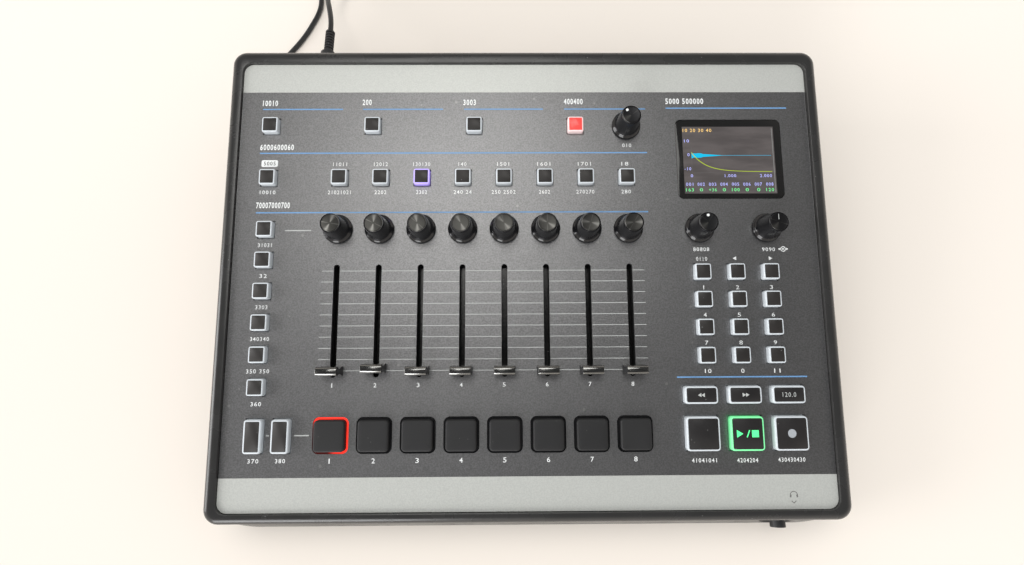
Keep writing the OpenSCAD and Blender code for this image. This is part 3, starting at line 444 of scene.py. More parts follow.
@dataclass(frozen=True)
class BoardMask(Finish):
    """Solder mask over copper tracks."""

    colour: Colour = (0.02, 0.12, 0.06)

    def mix(self, tree: Tree) -> bpy.types.Material:
        """Builds the nodes: a pattern of tracks under the mask."""
        where = tree.place()
        tracks = tree.node("ShaderNodeTexBrick", {"offset": 0.5},
                           {"Vector": where, "Scale": 0.12, "Mortar Size": 0.03})["Fac"]
        grain = tree.noise(where, 0.8, 2)
        colour = tree.mix(tracks, self.colour, dim(self.colour, 1.7))
        return tree.surface(Base_Color=colour, Roughness=grain.ramp(*NOISE, 0.3, 0.4),
                            Normal=tree.bump(tracks, 0.03, 0.5))


class Stock:
    """The named finishes of this machine."""

    CASE = MouldedPlastic("shell_black", (0.028, 0.0272, 0.0262), 0.26, 0.5, 0.012, 0.1, 0.015)
    LOWER = MouldedPlastic("lower_black", (0.014, 0.0138, 0.0136), 0.2, 0.6, 0.01, 0.12, 0.02)
    PANEL = PanelPaint("face_paint", (0.258, 0.258, 0.262), 0.14, 0.42, 0.94)
    BAND = PanelPaint("band_silver", shade(196, 197, 191), 0.05, 0.45, 0.3, 0.006)
    BLUE = PrintInk("blue_ink", shade(112, 160, 208))
    WHITE = PrintInk("white_ink", shade(245, 246, 243))
    SCALE = PrintInk("scale_ink", shade(188, 190, 186))
    SIGN = PrintInk("sign_ink", shade(192, 194, 190))
    DOT = PrintInk("dot_ink", shade(172, 176, 180))
    GREY_INK = PrintInk("grey_ink", shade(112, 110, 106))
    MILKY = LitPlastic("milky_grey", shade(214, 219, 222), (1, 1, 1), 0.0)
    # the lit bodies' glow fades towards the panel, a painted shade
    VIOLET = LitPlastic("milky_violet", shade(190, 175, 250), shade(176, 150, 255), 0.55, -0.5, 2.0)
    GREEN = LitPlastic("milky_green", shade(140, 215, 165), shade(60, 255, 130), 0.45, -0.5, 2.0)
    GREEN_SIGN = LitPlastic("sign_green", shade(90, 230, 140), shade(70, 255, 140), 0.7)
    RED_BODY = LitPlastic("milky_warm", shade(236, 216, 214), shade(255, 190, 184), 0.2, -0.5, 2.0)
    RED_FACE = LitPlastic("sample_red", shade(225, 60, 55), shade(255, 62, 56), 0.8)
    # the lit ring is darkened on its lower left, a painted shade
    RED_RING = LitPlastic("ring_red", shade(220, 40, 28), shade(255, 52, 34), 1.0, painted_shade_centre=(-115.85, -95.4))
    SMOKED = MouldedPlastic("ring_smoked", (0.008, 0.008, 0.009), 0.18, 0.5, 0.004, 0.1, 0.01)
    FACE = MouldedPlastic("button_face", shade(39, 36, 34), 0.45, 0.3, 0.01, 0.12, 0.03)
    FACE_BLACK = MouldedPlastic("button_face_black", shade(33, 31, 31), 0.4, 0.3, 0.01, 0.1, 0.03)
    PAD = MouldedPlastic("pad_rubber", shade(29, 29, 30), 0.6, 0.28, 0.02, 0.12, 0.06,
                         (0.12, 0.12, 0.115))
    # near-black fader bodies under the slots, a painted shade that keeps the slots dark
    SLOT_SHADE = MouldedPlastic("slot_black", (0.002, 0.002, 0.002), 0.8, 0.4, 0.01, 0.1, 0.0)
    KNOB = MouldedPlastic("knob_gloss", (0.006, 0.006, 0.007), 0.14, 0.5, 0.004, 0.2, 0.01)
    FADER = Metal("fader_metal", (0.28, 0.28, 0.272), 0.17, (0.05, 1, 1), 0.25)
    FADER_END = MouldedPlastic("fader_dark", (0.012, 0.012, 0.013), 0.42, 0.4, 0.01, 0.1, 0.02)
    STEEL = Metal("plated_steel", (0.56, 0.57, 0.58), 0.3)
    NUT = Metal("black_nut", (0.03, 0.03, 0.032), 0.35)
    SOCKET = MouldedPlastic("socket_plastic", (0.02, 0.02, 0.021), 0.5, 0.5, 0.02)
    RUBBER = MouldedPlastic("foot_rubber", (0.03, 0.03, 0.032), 0.8, 0.4, 0.03)
    ADAPTER = MouldedPlastic("adapter_plastic", (0.018, 0.018, 0.019), 0.5, 0.4, 0.03)
    CORD = CordJacket("cord_jacket")
    BOARD = BoardMask("board_mask")
    DIGITS_BLUE = PrintInk("digits_blue", shade(150, 152, 212), 0.4, 0.75)
    DIGITS_GREEN = PrintInk("digits_green", shade(96, 200, 122), 0.4, 0.8)
    DIGITS_ORANGE = PrintInk("digits_orange", shade(208, 170, 100), 0.4, 0.75)


@dataclass(frozen=True)
class PanelFrame:
    """The sloping frame of the face panel inside the machine's frame."""

    tilt: float = math.radians(8)
    shift_y: float = 1.3
    height: float = 62.18

    @property
    def matrix(self) -> Matrix:
        """Matrix from panel coordinates to the machine's, both in metres."""
        middle = Matrix.Translation((0, self.shift_y * MM, self.height * MM))
        return middle @ Matrix.Rotation(self.tilt, 4, "X")

    def point(self, x: float, y: float, w: float) -> Place3:
        """Gives a panel place in millimetres as a point of the machine in metres."""
        return tuple(self.matrix @ Vector((x * MM, y * MM, w * MM)))


PANEL = PanelFrame()


class Bench:
    """Keeps Blender's selection and mode tidy for the operators."""

    @staticmethod
    def clear() -> None:
        """Leaves edit mode and deselects everything."""
        if bpy.context.object and bpy.context.object.mode != "OBJECT":
            bpy.ops.object.mode_set(mode="OBJECT")
        bpy.ops.object.select_all(action="DESELECT")

    @staticmethod
    def take(*objects: bpy.types.Object) -> None:
        """Selects only these objects and makes the first one active."""
        Bench.clear()
        for obj in objects:
            obj.select_set(True)
        bpy.context.view_layer.objects.active = objects[0]

    @staticmethod
    def settle(obj: bpy.types.Object) -> bpy.types.Object:
        """Applies an object's place, turn and scale to its mesh."""
        Bench.take(obj)
        bpy.ops.object.transform_apply(location=True, rotation=True, scale=True)
        return obj

    @staticmethod
    def join(name: str, parts: Sequence[bpy.types.Object]) -> bpy.types.Object:
        """Joins several meshes into one named piece."""
        Bench.take(*parts)
        if len(parts) > 1:
            bpy.ops.object.join()
        joined = bpy.context.object
        joined.name = name
        joined.data.name = name
        return joined

    @staticmethod
    def copy(obj: bpy.types.Object, name: str, x: float, y: float) -> bpy.types.Object:
        """Copies a settled object with its own mesh, moved in the mesh."""
        twin = obj.copy()
        twin.data = obj.data.copy()
        twin.name = name
        bpy.context.scene.collection.objects.link(twin)
        twin.data.transform(Matrix.Translation((x * MM, y * MM, 0)))
        return twin

    @staticmethod
    def drop(*objects: bpy.types.Object) -> None:
        """Deletes helper objects."""
        for obj in objects:
            bpy.data.objects.remove(obj, do_unlink=True)


class Form:
    """A mesh shaped in edit mode by operators on faces, edges and vertices chosen by place."""

    def __init__(self, obj: bpy.types.Object) -> None:
        """Takes an object that a primitive has just made."""
        self.obj = obj

    @classmethod
    def plate(cls, width: float, depth: float, x: float = 0, y: float = 0, w: float = 0,
              radius: float = 0, segments: int = 8) -> "Form":
        """Starts a rounded plate without thickness.

        Args:
            width: size across, in millimetres.
            depth: size along, in millimetres.
            x: middle across.
            y: middle along.
            w: height.
            radius: radius of the corners, or 0.
            segments: number of segments of each corner.

        Returns:
            A form with one face that looks up.
        """
        Bench.clear()
        bpy.ops.mesh.primitive_plane_add(size=1, location=(x * MM, y * MM, w * MM))
        obj = bpy.context.object
        obj.scale = (width * MM, depth * MM, 1)
        form = cls(Bench.settle(obj))
        if radius:
            form.edit(verts=lambda v: True)
            bpy.ops.mesh.bevel(offset=radius * MM, offset_type="OFFSET", segments=segments, affect="VERTICES")
            form.leave()
        return form

    @classmethod
    def disc(cls, radius: float, x: float = 0, y: float = 0, w: float = 0, sides: int = 48) -> "Form":
        """Starts a round plate without thickness."""
        Bench.clear()
        bpy.ops.mesh.primitive_circle_add(vertices=sides, radius=radius * MM, fill_type="NGON",
                                          location=(x * MM, y * MM, w * MM))
        return cls(Bench.settle(bpy.context.object))

    def edit(self, verts: Optional[Callable[[Vector], bool]] = None,
             faces: Optional[Callable[[Vector, Vector], bool]] = None,
             edges: Optional[Callable[[Vector, Vector], bool]] = None) -> "Form":
        """Enters edit mode and selects by place, in millimetres.

        Args:
            verts: test of a vertex's place.
            faces: test of a face's middle and normal.
            edges: test of an edge's two ends.

        Returns:
            This form, in edit mode.
        """
        if bpy.context.object != self.obj or self.obj.mode != "EDIT":
            Bench.take(self.obj)
            bpy.ops.object.mode_set(mode="EDIT")
        mode = "VERT" if verts else "EDGE" if edges else "FACE"
        bpy.ops.mesh.select_mode(type=mode)
        bpy.ops.mesh.select_all(action="DESELECT")
        mesh = bmesh.from_edit_mesh(self.obj.data)
        mesh.normal_update()
        if verts:
            for v in mesh.verts:
                v.select_set(verts(v.co / MM))
        if edges:
            for e in mesh.edges:
                e.select_set(edges(e.verts[0].co / MM, e.verts[1].co / MM))
        if faces:
            for f in mesh.faces:
                f.select_set(faces(f.calc_center_median() / MM, f.normal))
        mesh.select_flush_mode()
        bmesh.update_edit_mesh(self.obj.data)
        return self

    def leave(self) -> "Form":
        """Returns to object mode."""
        if self.obj.mode == "EDIT":
            bpy.ops.object.mode_set(mode="OBJECT")
        return self

    def top(self) -> "Form":
        """Selects the highest face that looks up."""
        self.leave()
        highest = max(v.co.z for v in self.obj.data.vertices) / MM
        return self.edit(faces=lambda c, n: n.z > 0.9 and c.z > highest - NEAR)

    def _ready(self) -> None:
        """Selects the highest face, unless the last operator's face is still selected."""
        if self.obj.mode != "EDIT":
            self.top()

    def rise(self, height: float) -> "Form":
        """Extrudes the face in hand by a height."""
        self._ready()
        bpy.ops.mesh.extrude_region_move(TRANSFORM_OT_translate={"value": (0, 0, height * MM)})
        return self

    def step(self, inwards: float, up: float = 0.0) -> "Form":
        """Insets the face in hand and lifts what is inside."""
        self._ready()
        bpy.ops.mesh.inset(thickness=inwards * MM, depth=up * MM, use_even_offset=True)
        return self

    def round_over(self, inwards: float, up: float, segments: int = 5) -> "Form":
        """Rounds the edge of the face in hand by a quarter ellipse of insets.

        Args:
            inwards: how far the rounding goes in.
            up: how high it rises.
            segments: number of steps.

        Returns:
            This form.
        """
        last_in, last_up = 0.0, 0.0
        for index in range(1, segments + 1):
            angle = index / segments * math.pi / 2
            now_in, now_up = inwards * (1 - math.cos(angle)), up * math.sin(angle)
            self.step(now_in - last_in, now_up - last_up)
            last_in, last_up = now_in, now_up
        return self

    def taper(self, factor: Point, middle: Place3) -> "Form":
        """Scales what is selected, about a middle in millimetres."""
        bpy.ops.transform.resize(value=(*factor, 1), center_override=tuple(m * MM for m in middle))
        return self

    def close(self) -> "Form":
        """Closes the open underside of an extruded plate and tidies the mesh."""
        self.leave()
        lowest = min(v.co.z for v in self.obj.data.vertices) / MM
        if not any(p.normal.z < -0.9 and p.center.z / MM < lowest + NEAR for p in self.obj.data.polygons):
            self.edit(verts=lambda v: v.z < lowest + NEAR)
            bpy.ops.mesh.edge_face_add()
        return self.tidy()

    def thicken(self, height: float) -> "Form":
        """Makes a plate a closed slab."""
        return self.rise(height).close()

    def put(self, x: float, y: float, turn: float = 0.0) -> bpy.types.Object:
        """Turns the mesh by an angle in radians and moves it to a place."""
        self.obj.data.transform(Matrix.Translation((x * MM, y * MM, 0)) @ Matrix.Rotation(turn, 4, "Z"))
        return self.obj

    def merge(self, apart: float) -> "Form":
        """Merges vertices that are closer than a distance in millimetres."""
        self.edit(verts=lambda v: True)
        bpy.ops.mesh.remove_doubles(threshold=apart * MM)
        return self

    def tidy(self) -> "Form":
        """Merges doubles and turns every face outwards."""
        self.leave().merge(2 * NEAR)
        bpy.ops.mesh.normals_make_consistent(inside=False)
        return self.leave()

    def smooth(self, degrees: float = 35) -> "Form":
        """Shades smooth below an angle between faces."""
        self.leave()
        Bench.take(self.obj)
        bpy.ops.object.shade_smooth_by_angle(angle=math.radians(degrees))
        return self

    def modify(self, kind: str, **settings: Any) -> "Form":
        """Adds a modifier with its settings and applies it."""
        self.leave()
        Bench.take(self.obj)
        modifier = self.obj.modifiers.new(kind, kind)
        for key, value in settings.items():
            setattr(modifier, key, value)
        bpy.ops.object.modifier_apply(modifier=kind)
        return self

    def flatten_wide_faces(self) -> "Form":
        """Lets the wide faces set the shading normals, so that long thin ones beside them don't show."""
        return self.modify("WEIGHTED_NORMAL", keep_sharp=True, weight=100)

    def soften(self, width: float, segments: int, degrees: float) -> "Form":
        """Bevels every edge that is sharper than an angle."""
        return self.modify("BEVEL", width=width * MM, segments=segments, limit_method="ANGLE",
                           angle_limit=math.radians(degrees), harden_normals=False)


@dataclass(frozen=True)
class Ring:
    """A rounded rectangle's outline, one section of a loft."""

    width: float
    depth: float
    radius: float
    y: float
    w: float

    def holds(self, v: Vector) -> bool:
        """Tells whether a place in millimetres lies on this outline."""
        across = abs(v.x) - self.width / 2 + self.radius
        along = abs(v.y - self.y) - self.depth / 2 + self.radius
        reach = math.hypot(max(across, 0.0), max(along, 0.0)) + min(max(across, along), 0.0)
        return abs(v.z - self.w) < 10 * NEAR and abs(reach - self.radius) < 20 * NEAR

    def edges(self, steps: int) -> bpy.types.Object:
        """Makes the outline as edges alone, with a number of steps at each corner."""
        form = Form.plate(self.width, self.depth, 0, self.y, self.w, self.radius, steps)
        form.edit(faces=lambda c, n: True)
        bpy.ops.mesh.delete(type="ONLY_FACE")
        return form.leave().obj


def loft(name: str, rings: Sequence[Ring], steps: int = 8) -> Form:
    """Bridges a closed series of outlines into one solid frame.

    Args:
        name: the object's name.
        rings: its sections in order; the last one is bridged back to the first.
        steps: number of steps at each corner.

    Returns:
        The frame.
    """
    form = Form(Bench.join(name, [ring.edges(steps) for ring in rings]))
    for first, second in zip(rings, [*rings[1:], rings[0]]):
        form.edit(edges=lambda a, b: first.holds(a) and first.holds(b) or second.holds(a) and second.holds(b))
        bpy.ops.mesh.bridge_edge_loops()
    return form.tidy()


class Builder:
    """Adds finished pieces to the model and reports them."""

    def add(self, parts: Union[bpy.types.Object, Sequence[bpy.types.Object]], name: str, finish: Finish,
            body: str = STILL, slot: Optional[str] = None, replaces: Sequence[str] = (),
            on_panel: bool = True, lift: float = 0.0) -> bpy.types.Object:
        """Joins, names, places, dresses and mounts a piece.

        Args:
            parts: its settled object or objects.
            name: the piece's name.
            finish: its finish.
            body: the body that it rides on.
            slot: not used.
            replaces: CAD nodes that it stands for.
            on_panel: whether its mesh is in panel coordinates.
            lift: how far its mesh is raised above the panel first, in millimetres.

        Returns:
            The piece.
        """
        obj = parts if isinstance(parts, bpy.types.Object) else Bench.join(name, parts)
        if lift:
            obj.data.transform(Matrix.Translation((0, 0, lift * MM)))
        obj.name = name
        obj.data.name = name
        if on_panel:
            obj.data.transform(PANEL.matrix)
        obj.data.materials.clear()
        obj.data.materials.append(finish.material())
        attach(obj, body)
        if replaces:
            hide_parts(*replaces)
        LOG.info("%s: %d faces, rides on %s", name, len(obj.data.polygons) if obj.type == "MESH" else 0, body)
        return obj


@dataclass
class Lead(Builder):
    """The thin lead: out of its plug, down to the table, round in a loop, a coil, and to the adapter."""

    diameter: float = 3.8
    length: float = 1.5
    start: Place3 = (-141.5, 193.589, 44.0)
    coil_middle: Point = (-150.0, 172.7)
    coil_radius: float = 23.3
    coil_turns: int = 9
    layer_turns: float = 2.25
    turn_points: int = 20
    ramp_before: float = 0.16
    ramp_after: float = 0.34
    run: tuple[Place3, ...] = (
        (-142, 202, 43.6), (-143.8, 211, 42), (-146.5, 220.5, 39), (-149.5, 230, 34.5), (-152, 239.5, 28.5),
        (-152.5, 249, 21.5), (-150.5, 258.5, 14.5), (-147, 268, 8.6), (-143.8, 277.5, 4.4),
        (-142.5, 287.5, 2.3), (-143.5, 297, 1.9), (-149, 304.5, 1.9), (-158.2, 307.3, 1.9),
        (-167.3, 304, 1.9),
        (-172.8, 296, 1.9), (-173.5, 286.5, 1.9), (-171.5, 277, 1.9), (-169, 267, 1.9), (-168, 257, 1.9),
        (-169.5, 247, 1.9), (-173, 237, 1.9), (-177.3, 227, 1.9), (-182.5, 217.5, 1.9), (-188.5, 208.5, 1.9),
        (-194.5, 199.5, 1.9), (-199, 190, 1.9), (-200.5, 179.5, 1.9), (-198, 168.5, 1.9), (-191, 159, 1.9),
        (-180.5, 152.5, 1.9), (-166, 149.6, 1.9))
    tail: tuple[Place3, ...] = (
        (-140, 149.2, 12.9), (-130, 149.4, 10), (-120, 150.5, 6.2), (-110, 152, 3.2), (-100, 153.7, 2),
        (-90, 155.2, 2.5), (-82, 155.9, 3.8), (-75, 156, 5))

    def coil(self) -> Iterator[Place3]:
        """Gives the points of the wound turns, layer on layer."""
        for index in range(self.coil_turns * self.turn_points + 1):
            turn = index / self.turn_points
            layer, along = divmod(turn, self.layer_turns)
            inwards = along if int(layer) % 2 == 0 else self.layer_turns - along
            if turn >= self.coil_turns:
                inwards = 0.0
            radius = self.coil_radius - inwards * self.diameter
            lift = 0.0
            for crossing in range(1, 4):
                at = turn - crossing * self.layer_turns + self.ramp_before
                at /= self.ramp_before + self.ramp_after
                lift += math.sin(min(max(at, 0.0), 1.0) * math.pi / 2)
            angle = -math.pi / 2 + turn * math.tau
            yield (self.coil_middle[0] + radius * math.cos(angle),
                   self.coil_middle[1] + radius * math.sin(angle), self.diameter * (0.5 + lift))

    def build(self) -> None:
        """Makes the lead, its adapter's finish and its plug's."""
        points = [self.start, *self.run, *self.coil(), *self.tail]
        curve = bpy.data.curves.new("power_lead", "CURVE")
        curve.dimensions = "3D"
        spline = curve.splines.new("BEZIER")
        spline.bezier_points.add(len(points) - 1)
        for knot, point in zip(spline.bezier_points, points):
            knot.co = Vector(point) * MM
            knot.handle_left_type = knot.handle_right_type = "AUTO"
        spline.resolution_u = 4
        curve.bevel_depth = self.diameter / 2 * MM
        curve.bevel_resolution = 3
        curve.use_fill_caps = True
        lead = bpy.data.objects.new("power_lead", curve)
        bpy.context.scene.collection.objects.link(lead)
        self.add(lead, "power_lead", Stock.CORD, slot="cord_black", replaces=("dc_lead", "dc_lead_coil"),
                 on_panel=False)
        for node, finish in (("dc_plug", Stock.SOCKET), ("wall_adapter", Stock.ADAPTER)):
            dress_node(node, finish)
        tuple(v * MM for v in self.start)
        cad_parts["dc_plug"]
        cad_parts["wall_adapter"]


def dress_node(node: str, finish: Finish) -> None:
    """Gives a CAD node that stays in view its finish."""
    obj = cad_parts[node]
    material = finish.material()
    if not obj.material_slots:
        obj.data.materials.append(material)
    for slot in obj.material_slots:
        slot.material = material


@dataclass
class Case(Builder):
    """The two shells and the feet."""

    width: float = 375.0
    depth: float = 290.0
    corner: float = 9.0
    edge: float = 4.5
    rim: float = 2.0
    seam: float = 8.0
    opening_w: float = 359.6
    opening_d: float = 275.1
    opening_y: float = -1.25
    opening_r: float = 6.3
    panel_t: float = 2.0
    ledge: float = 8.0
    ledge_t: float = 2.5
    wall: float = 2.5
    steps: int = 8
    lip: float = 0.45
    play: float = 0.6
    ledge_r: float = 6.0

    def rings(self) -> list[Ring]:
        """Lists the outlines of the rim's section, from its foot over the top and back inside.

        Two neighbours never share one height, so that bridging can tell which way is up.
        """
        low, lip, apart = -self.seam, self.lip, 0.02
        out = [Ring(self.width, self.depth, self.corner, 0.0, low)]
        for index in range(self.steps + 1):
            angle = index / self.steps * math.pi / 2
            inwards = self.edge * (1 - math.cos(angle))
            out.append(Ring(self.width - 2 * inwards, self.depth - 2 * inwards, self.corner - inwards, 0.0,
                            self.rim - self.edge + self.edge * math.sin(angle)))
        for share, drop in ((1.0, apart / lip), (0.3, 0.3), (0.0, 1.0)):
            grow = share * lip
            out.append(Ring(self.opening_w + 2 * grow, self.opening_d + 2 * grow, self.opening_r + grow,
                            self.opening_y, self.rim - drop * lip))
        out.append(Ring(self.opening_w, self.opening_d, self.opening_r, self.opening_y, -self.panel_t))
        in_w, in_d = (size - self.play - 2 * self.ledge for size in (self.opening_w, self.opening_d))
        for w in (-self.panel_t - apart, -self.panel_t - self.ledge_t):
            out.append(Ring(in_w, in_d, self.ledge_r, self.opening_y, w))
        for w in (-self.panel_t - self.ledge_t + apart, low + apart):
            out.append(Ring(self.width - 2 * self.wall, self.depth - 2 * self.wall,
                            self.corner - self.wall, 0.0, w))
        return out

    def top_shell(self) -> None:
        """Bridges the outlines of the rim into one closed frame."""
        form = loft("top_shell", self.rings(), self.steps).smooth(40)
        self.add(form.obj, "top_shell", Stock.CASE, slot="case_black", replaces=("case_top",))

    def lower_shell(self) -> None:
        """Takes a merged, smooth copy of the lower shell."""
        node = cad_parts["case_bottom"]
        Bench.clear()
        obj = bpy.data.objects.new("lower_shell", node.data.copy())
        bpy.context.scene.collection.objects.link(obj)
        Form(obj).merge(NEAR).smooth(30).flatten_wide_faces()
        self.add(obj, "lower_shell", Stock.LOWER, slot="case_black", replaces=("case_bottom",),
                 on_panel=False)

    def build(self) -> None:
        """Builds the shells and dresses what stays."""
        self.top_shell()
        self.lower_shell()
        for node, finish in (("rubber_feet", Stock.RUBBER), ("case_screws", Stock.STEEL),
                             ("control_board", Stock.BOARD), ("main_board", Stock.BOARD),
                             ("rear_jacks", Stock.SOCKET), ("jack_nuts", Stock.NUT),
                             ("rear_sockets", Stock.SOCKET), ("headphone_jack", Stock.SOCKET),
                             ("fader_bodies", Stock.SLOT_SHADE), ("pot_bodies", Stock.STEEL),
                             ("display_module", Stock.SOCKET), ("power_button", Stock.FACE_BLACK)):
            dress_node(node, finish)


@dataclass(frozen=True)
class Layout:
    """Rows and columns of the top, in panel coordinates."""

    left_x: float = -160.0
    channel_x: float = -26.6
    pitch: float = 25.5
    top_y: float = 94.3
    top_pitch: float = 63.75
    program_y: float = 60.5
    knob_y: float = 27.8
    fader_y: float = -28.1
    travel: float = 60.0
    pad_y: float = -95.4
    perform_y: float = 27.7
    perform_pitch: float = 19.0
    master_x: float = 127.5
    key_x: float = 20.75
    key_pitch: float = 16.77
    key_y: float = 0.35
    transport_x: float = 127.5
    transport_pitch: float = 25.8
    wide_y: float = -73.2
    mute_pitch: float = 15.9
    gain: Point = (63.5, 94.3)
    window: Point = (128.3, 72.6)
    second_fader_up: float = 1.5

    def channel(self, index: int) -> float:
        """Gives the x of a channel, 0 to 7."""
        return self.channel_x + (index - 3.5) * self.pitch

    def top_row(self) -> list[Point]:
        """Lists the buttons of the top row."""
        return [(self.left_x + i * self.top_pitch, self.top_y) for i in range(4)]

    def program_row(self) -> list[Point]:
        """Lists the buttons of the programming row."""
        return [(self.left_x, self.program_y)] + [(self.channel(i), self.program_y) for i in range(8)]

    def perform_column(self) -> list[Point]:
        """Lists the buttons of the performance column."""
        return [(self.left_x, self.perform_y - i * self.perform_pitch) for i in range(6)]

    def keypad(self) -> list[Point]:
        """Lists the keys, row by row."""
        return [(self.master_x + c * self.key_x, self.key_y - r * self.key_pitch)
                for r in range(4) for c in (-1, 0, 1)]

    def transport(self, row_y: float) -> list[Point]:
        """Lists three transport buttons in a row."""
        return [(self.transport_x + c * self.transport_pitch, row_y) for c in (-1, 0, 1)]


LAYOUT = Layout()


@dataclass
class FacePanel(Builder):
    """The painted panel with its silver bands, rules and fader scales."""

    width: float = 359.0
    low: float = -138.5
    high: float = 136.0
    corner: float = 6.0
    band_top: float = 117.1
    band_low: float = -119.1
    print_t: float = 0.03
    rule_t: float = 0.8
    line_t: float = 0.38
    slot_w: float = 3.6
    slot_gap: float = 0.15
    corner_steps: int = 10
    rules: tuple[tuple[float, float, float], ...] = (
        (-166.4, -115.8, 105.8), (-103.2, -52.4, 105.8), (-39.1, 11.1, 105.8), (24.5, 76.3, 105.8),
        (89.4, 166.7, 106.3), (-166.7, 76.4, 76.8), (-166.9, 75.6, 38.5), (88.8, 166.7, -62.9))
    dashes: tuple[tuple[float, float, float], ...] = (
        (-148.5, -132.6, 27.2), (-137.0, -128.3, -95.3), (-153.3, -151.5, -95.3))
    scale_x: Point = (-124.9, 71.8)
    scale_lines: int = 10

    def band(self, name: str, low: float, high: float, rounded_side: int) -> None:
        """Makes one silver band, with two rounded corners on its outer side."""
        form = Form.plate(self.width, high - low, 0, (low + high) / 2, 0)
        form.edit(verts=lambda v: (v.y - (low + high) / 2) * rounded_side > 0)
        bpy.ops.mesh.bevel(offset=self.corner * MM, segments=self.corner_steps, affect="VERTICES")
        form.leave().thicken(self.print_t)
        self.add(form.obj, name, Stock.BAND, slot="panel_grey")

    def strip(self, x1: float, x2: float, y: float, thick: float, rounded: float = 0.0) -> bpy.types.Object:
        """Makes one printed strip."""
        form = Form.plate(x2 - x1, thick, (x1 + x2) / 2, y, 0, rounded, 2)
        return form.thicken(self.print_t).obj

    def scale(self) -> list[bpy.types.Object]:
        """Makes the fader scale's lines, which stop at each slot."""
        cuts = [self.scale_x[0]]
        for index in range(8):
            x = LAYOUT.channel(index)
            cuts += [x - self.slot_w / 2 - self.slot_gap, x + self.slot_w / 2 + self.slot_gap]
        cuts.append(self.scale_x[1])
        lines = []
        for row in range(self.scale_lines):
            y = LAYOUT.fader_y - LAYOUT.travel / 2 + row * LAYOUT.travel / (self.scale_lines - 1)
            for x1, x2 in zip(cuts[::2], cuts[1::2]):
                lines.append(self.strip(x1, x2, y, self.line_t))
        return lines

    def build(self) -> None:
        """Paints the panel and prints its bands and rules."""
        dress_node("face_panel", Stock.PANEL)
        self.band("band_back", self.band_top, self.high, 1)
        self.band("band_front", self.low, self.band_low, -1)
        rules = [self.strip(x1, x2, y, self.rule_t, 0.15) for x1, x2, y in self.rules]
        self.add(rules, "blue_rules", Stock.BLUE, slot="panel_grey")
        dashes = [self.strip(x1, x2, y, self.rule_t * 0.85, 0.12) for x1, x2, y in self.dashes]
        self.add(dashes, "grey_dashes", Stock.SCALE, slot="panel_grey")
        self.add(self.scale(), "fader_scale", Stock.SCALE, slot="panel_grey")


@dataclass(frozen=True)
class Legend:
    """A plain number printed at a place: its middle, its height and the width it may fill."""

    text: str
    x: float
    y: float
    width: float
    height: float = 2.45


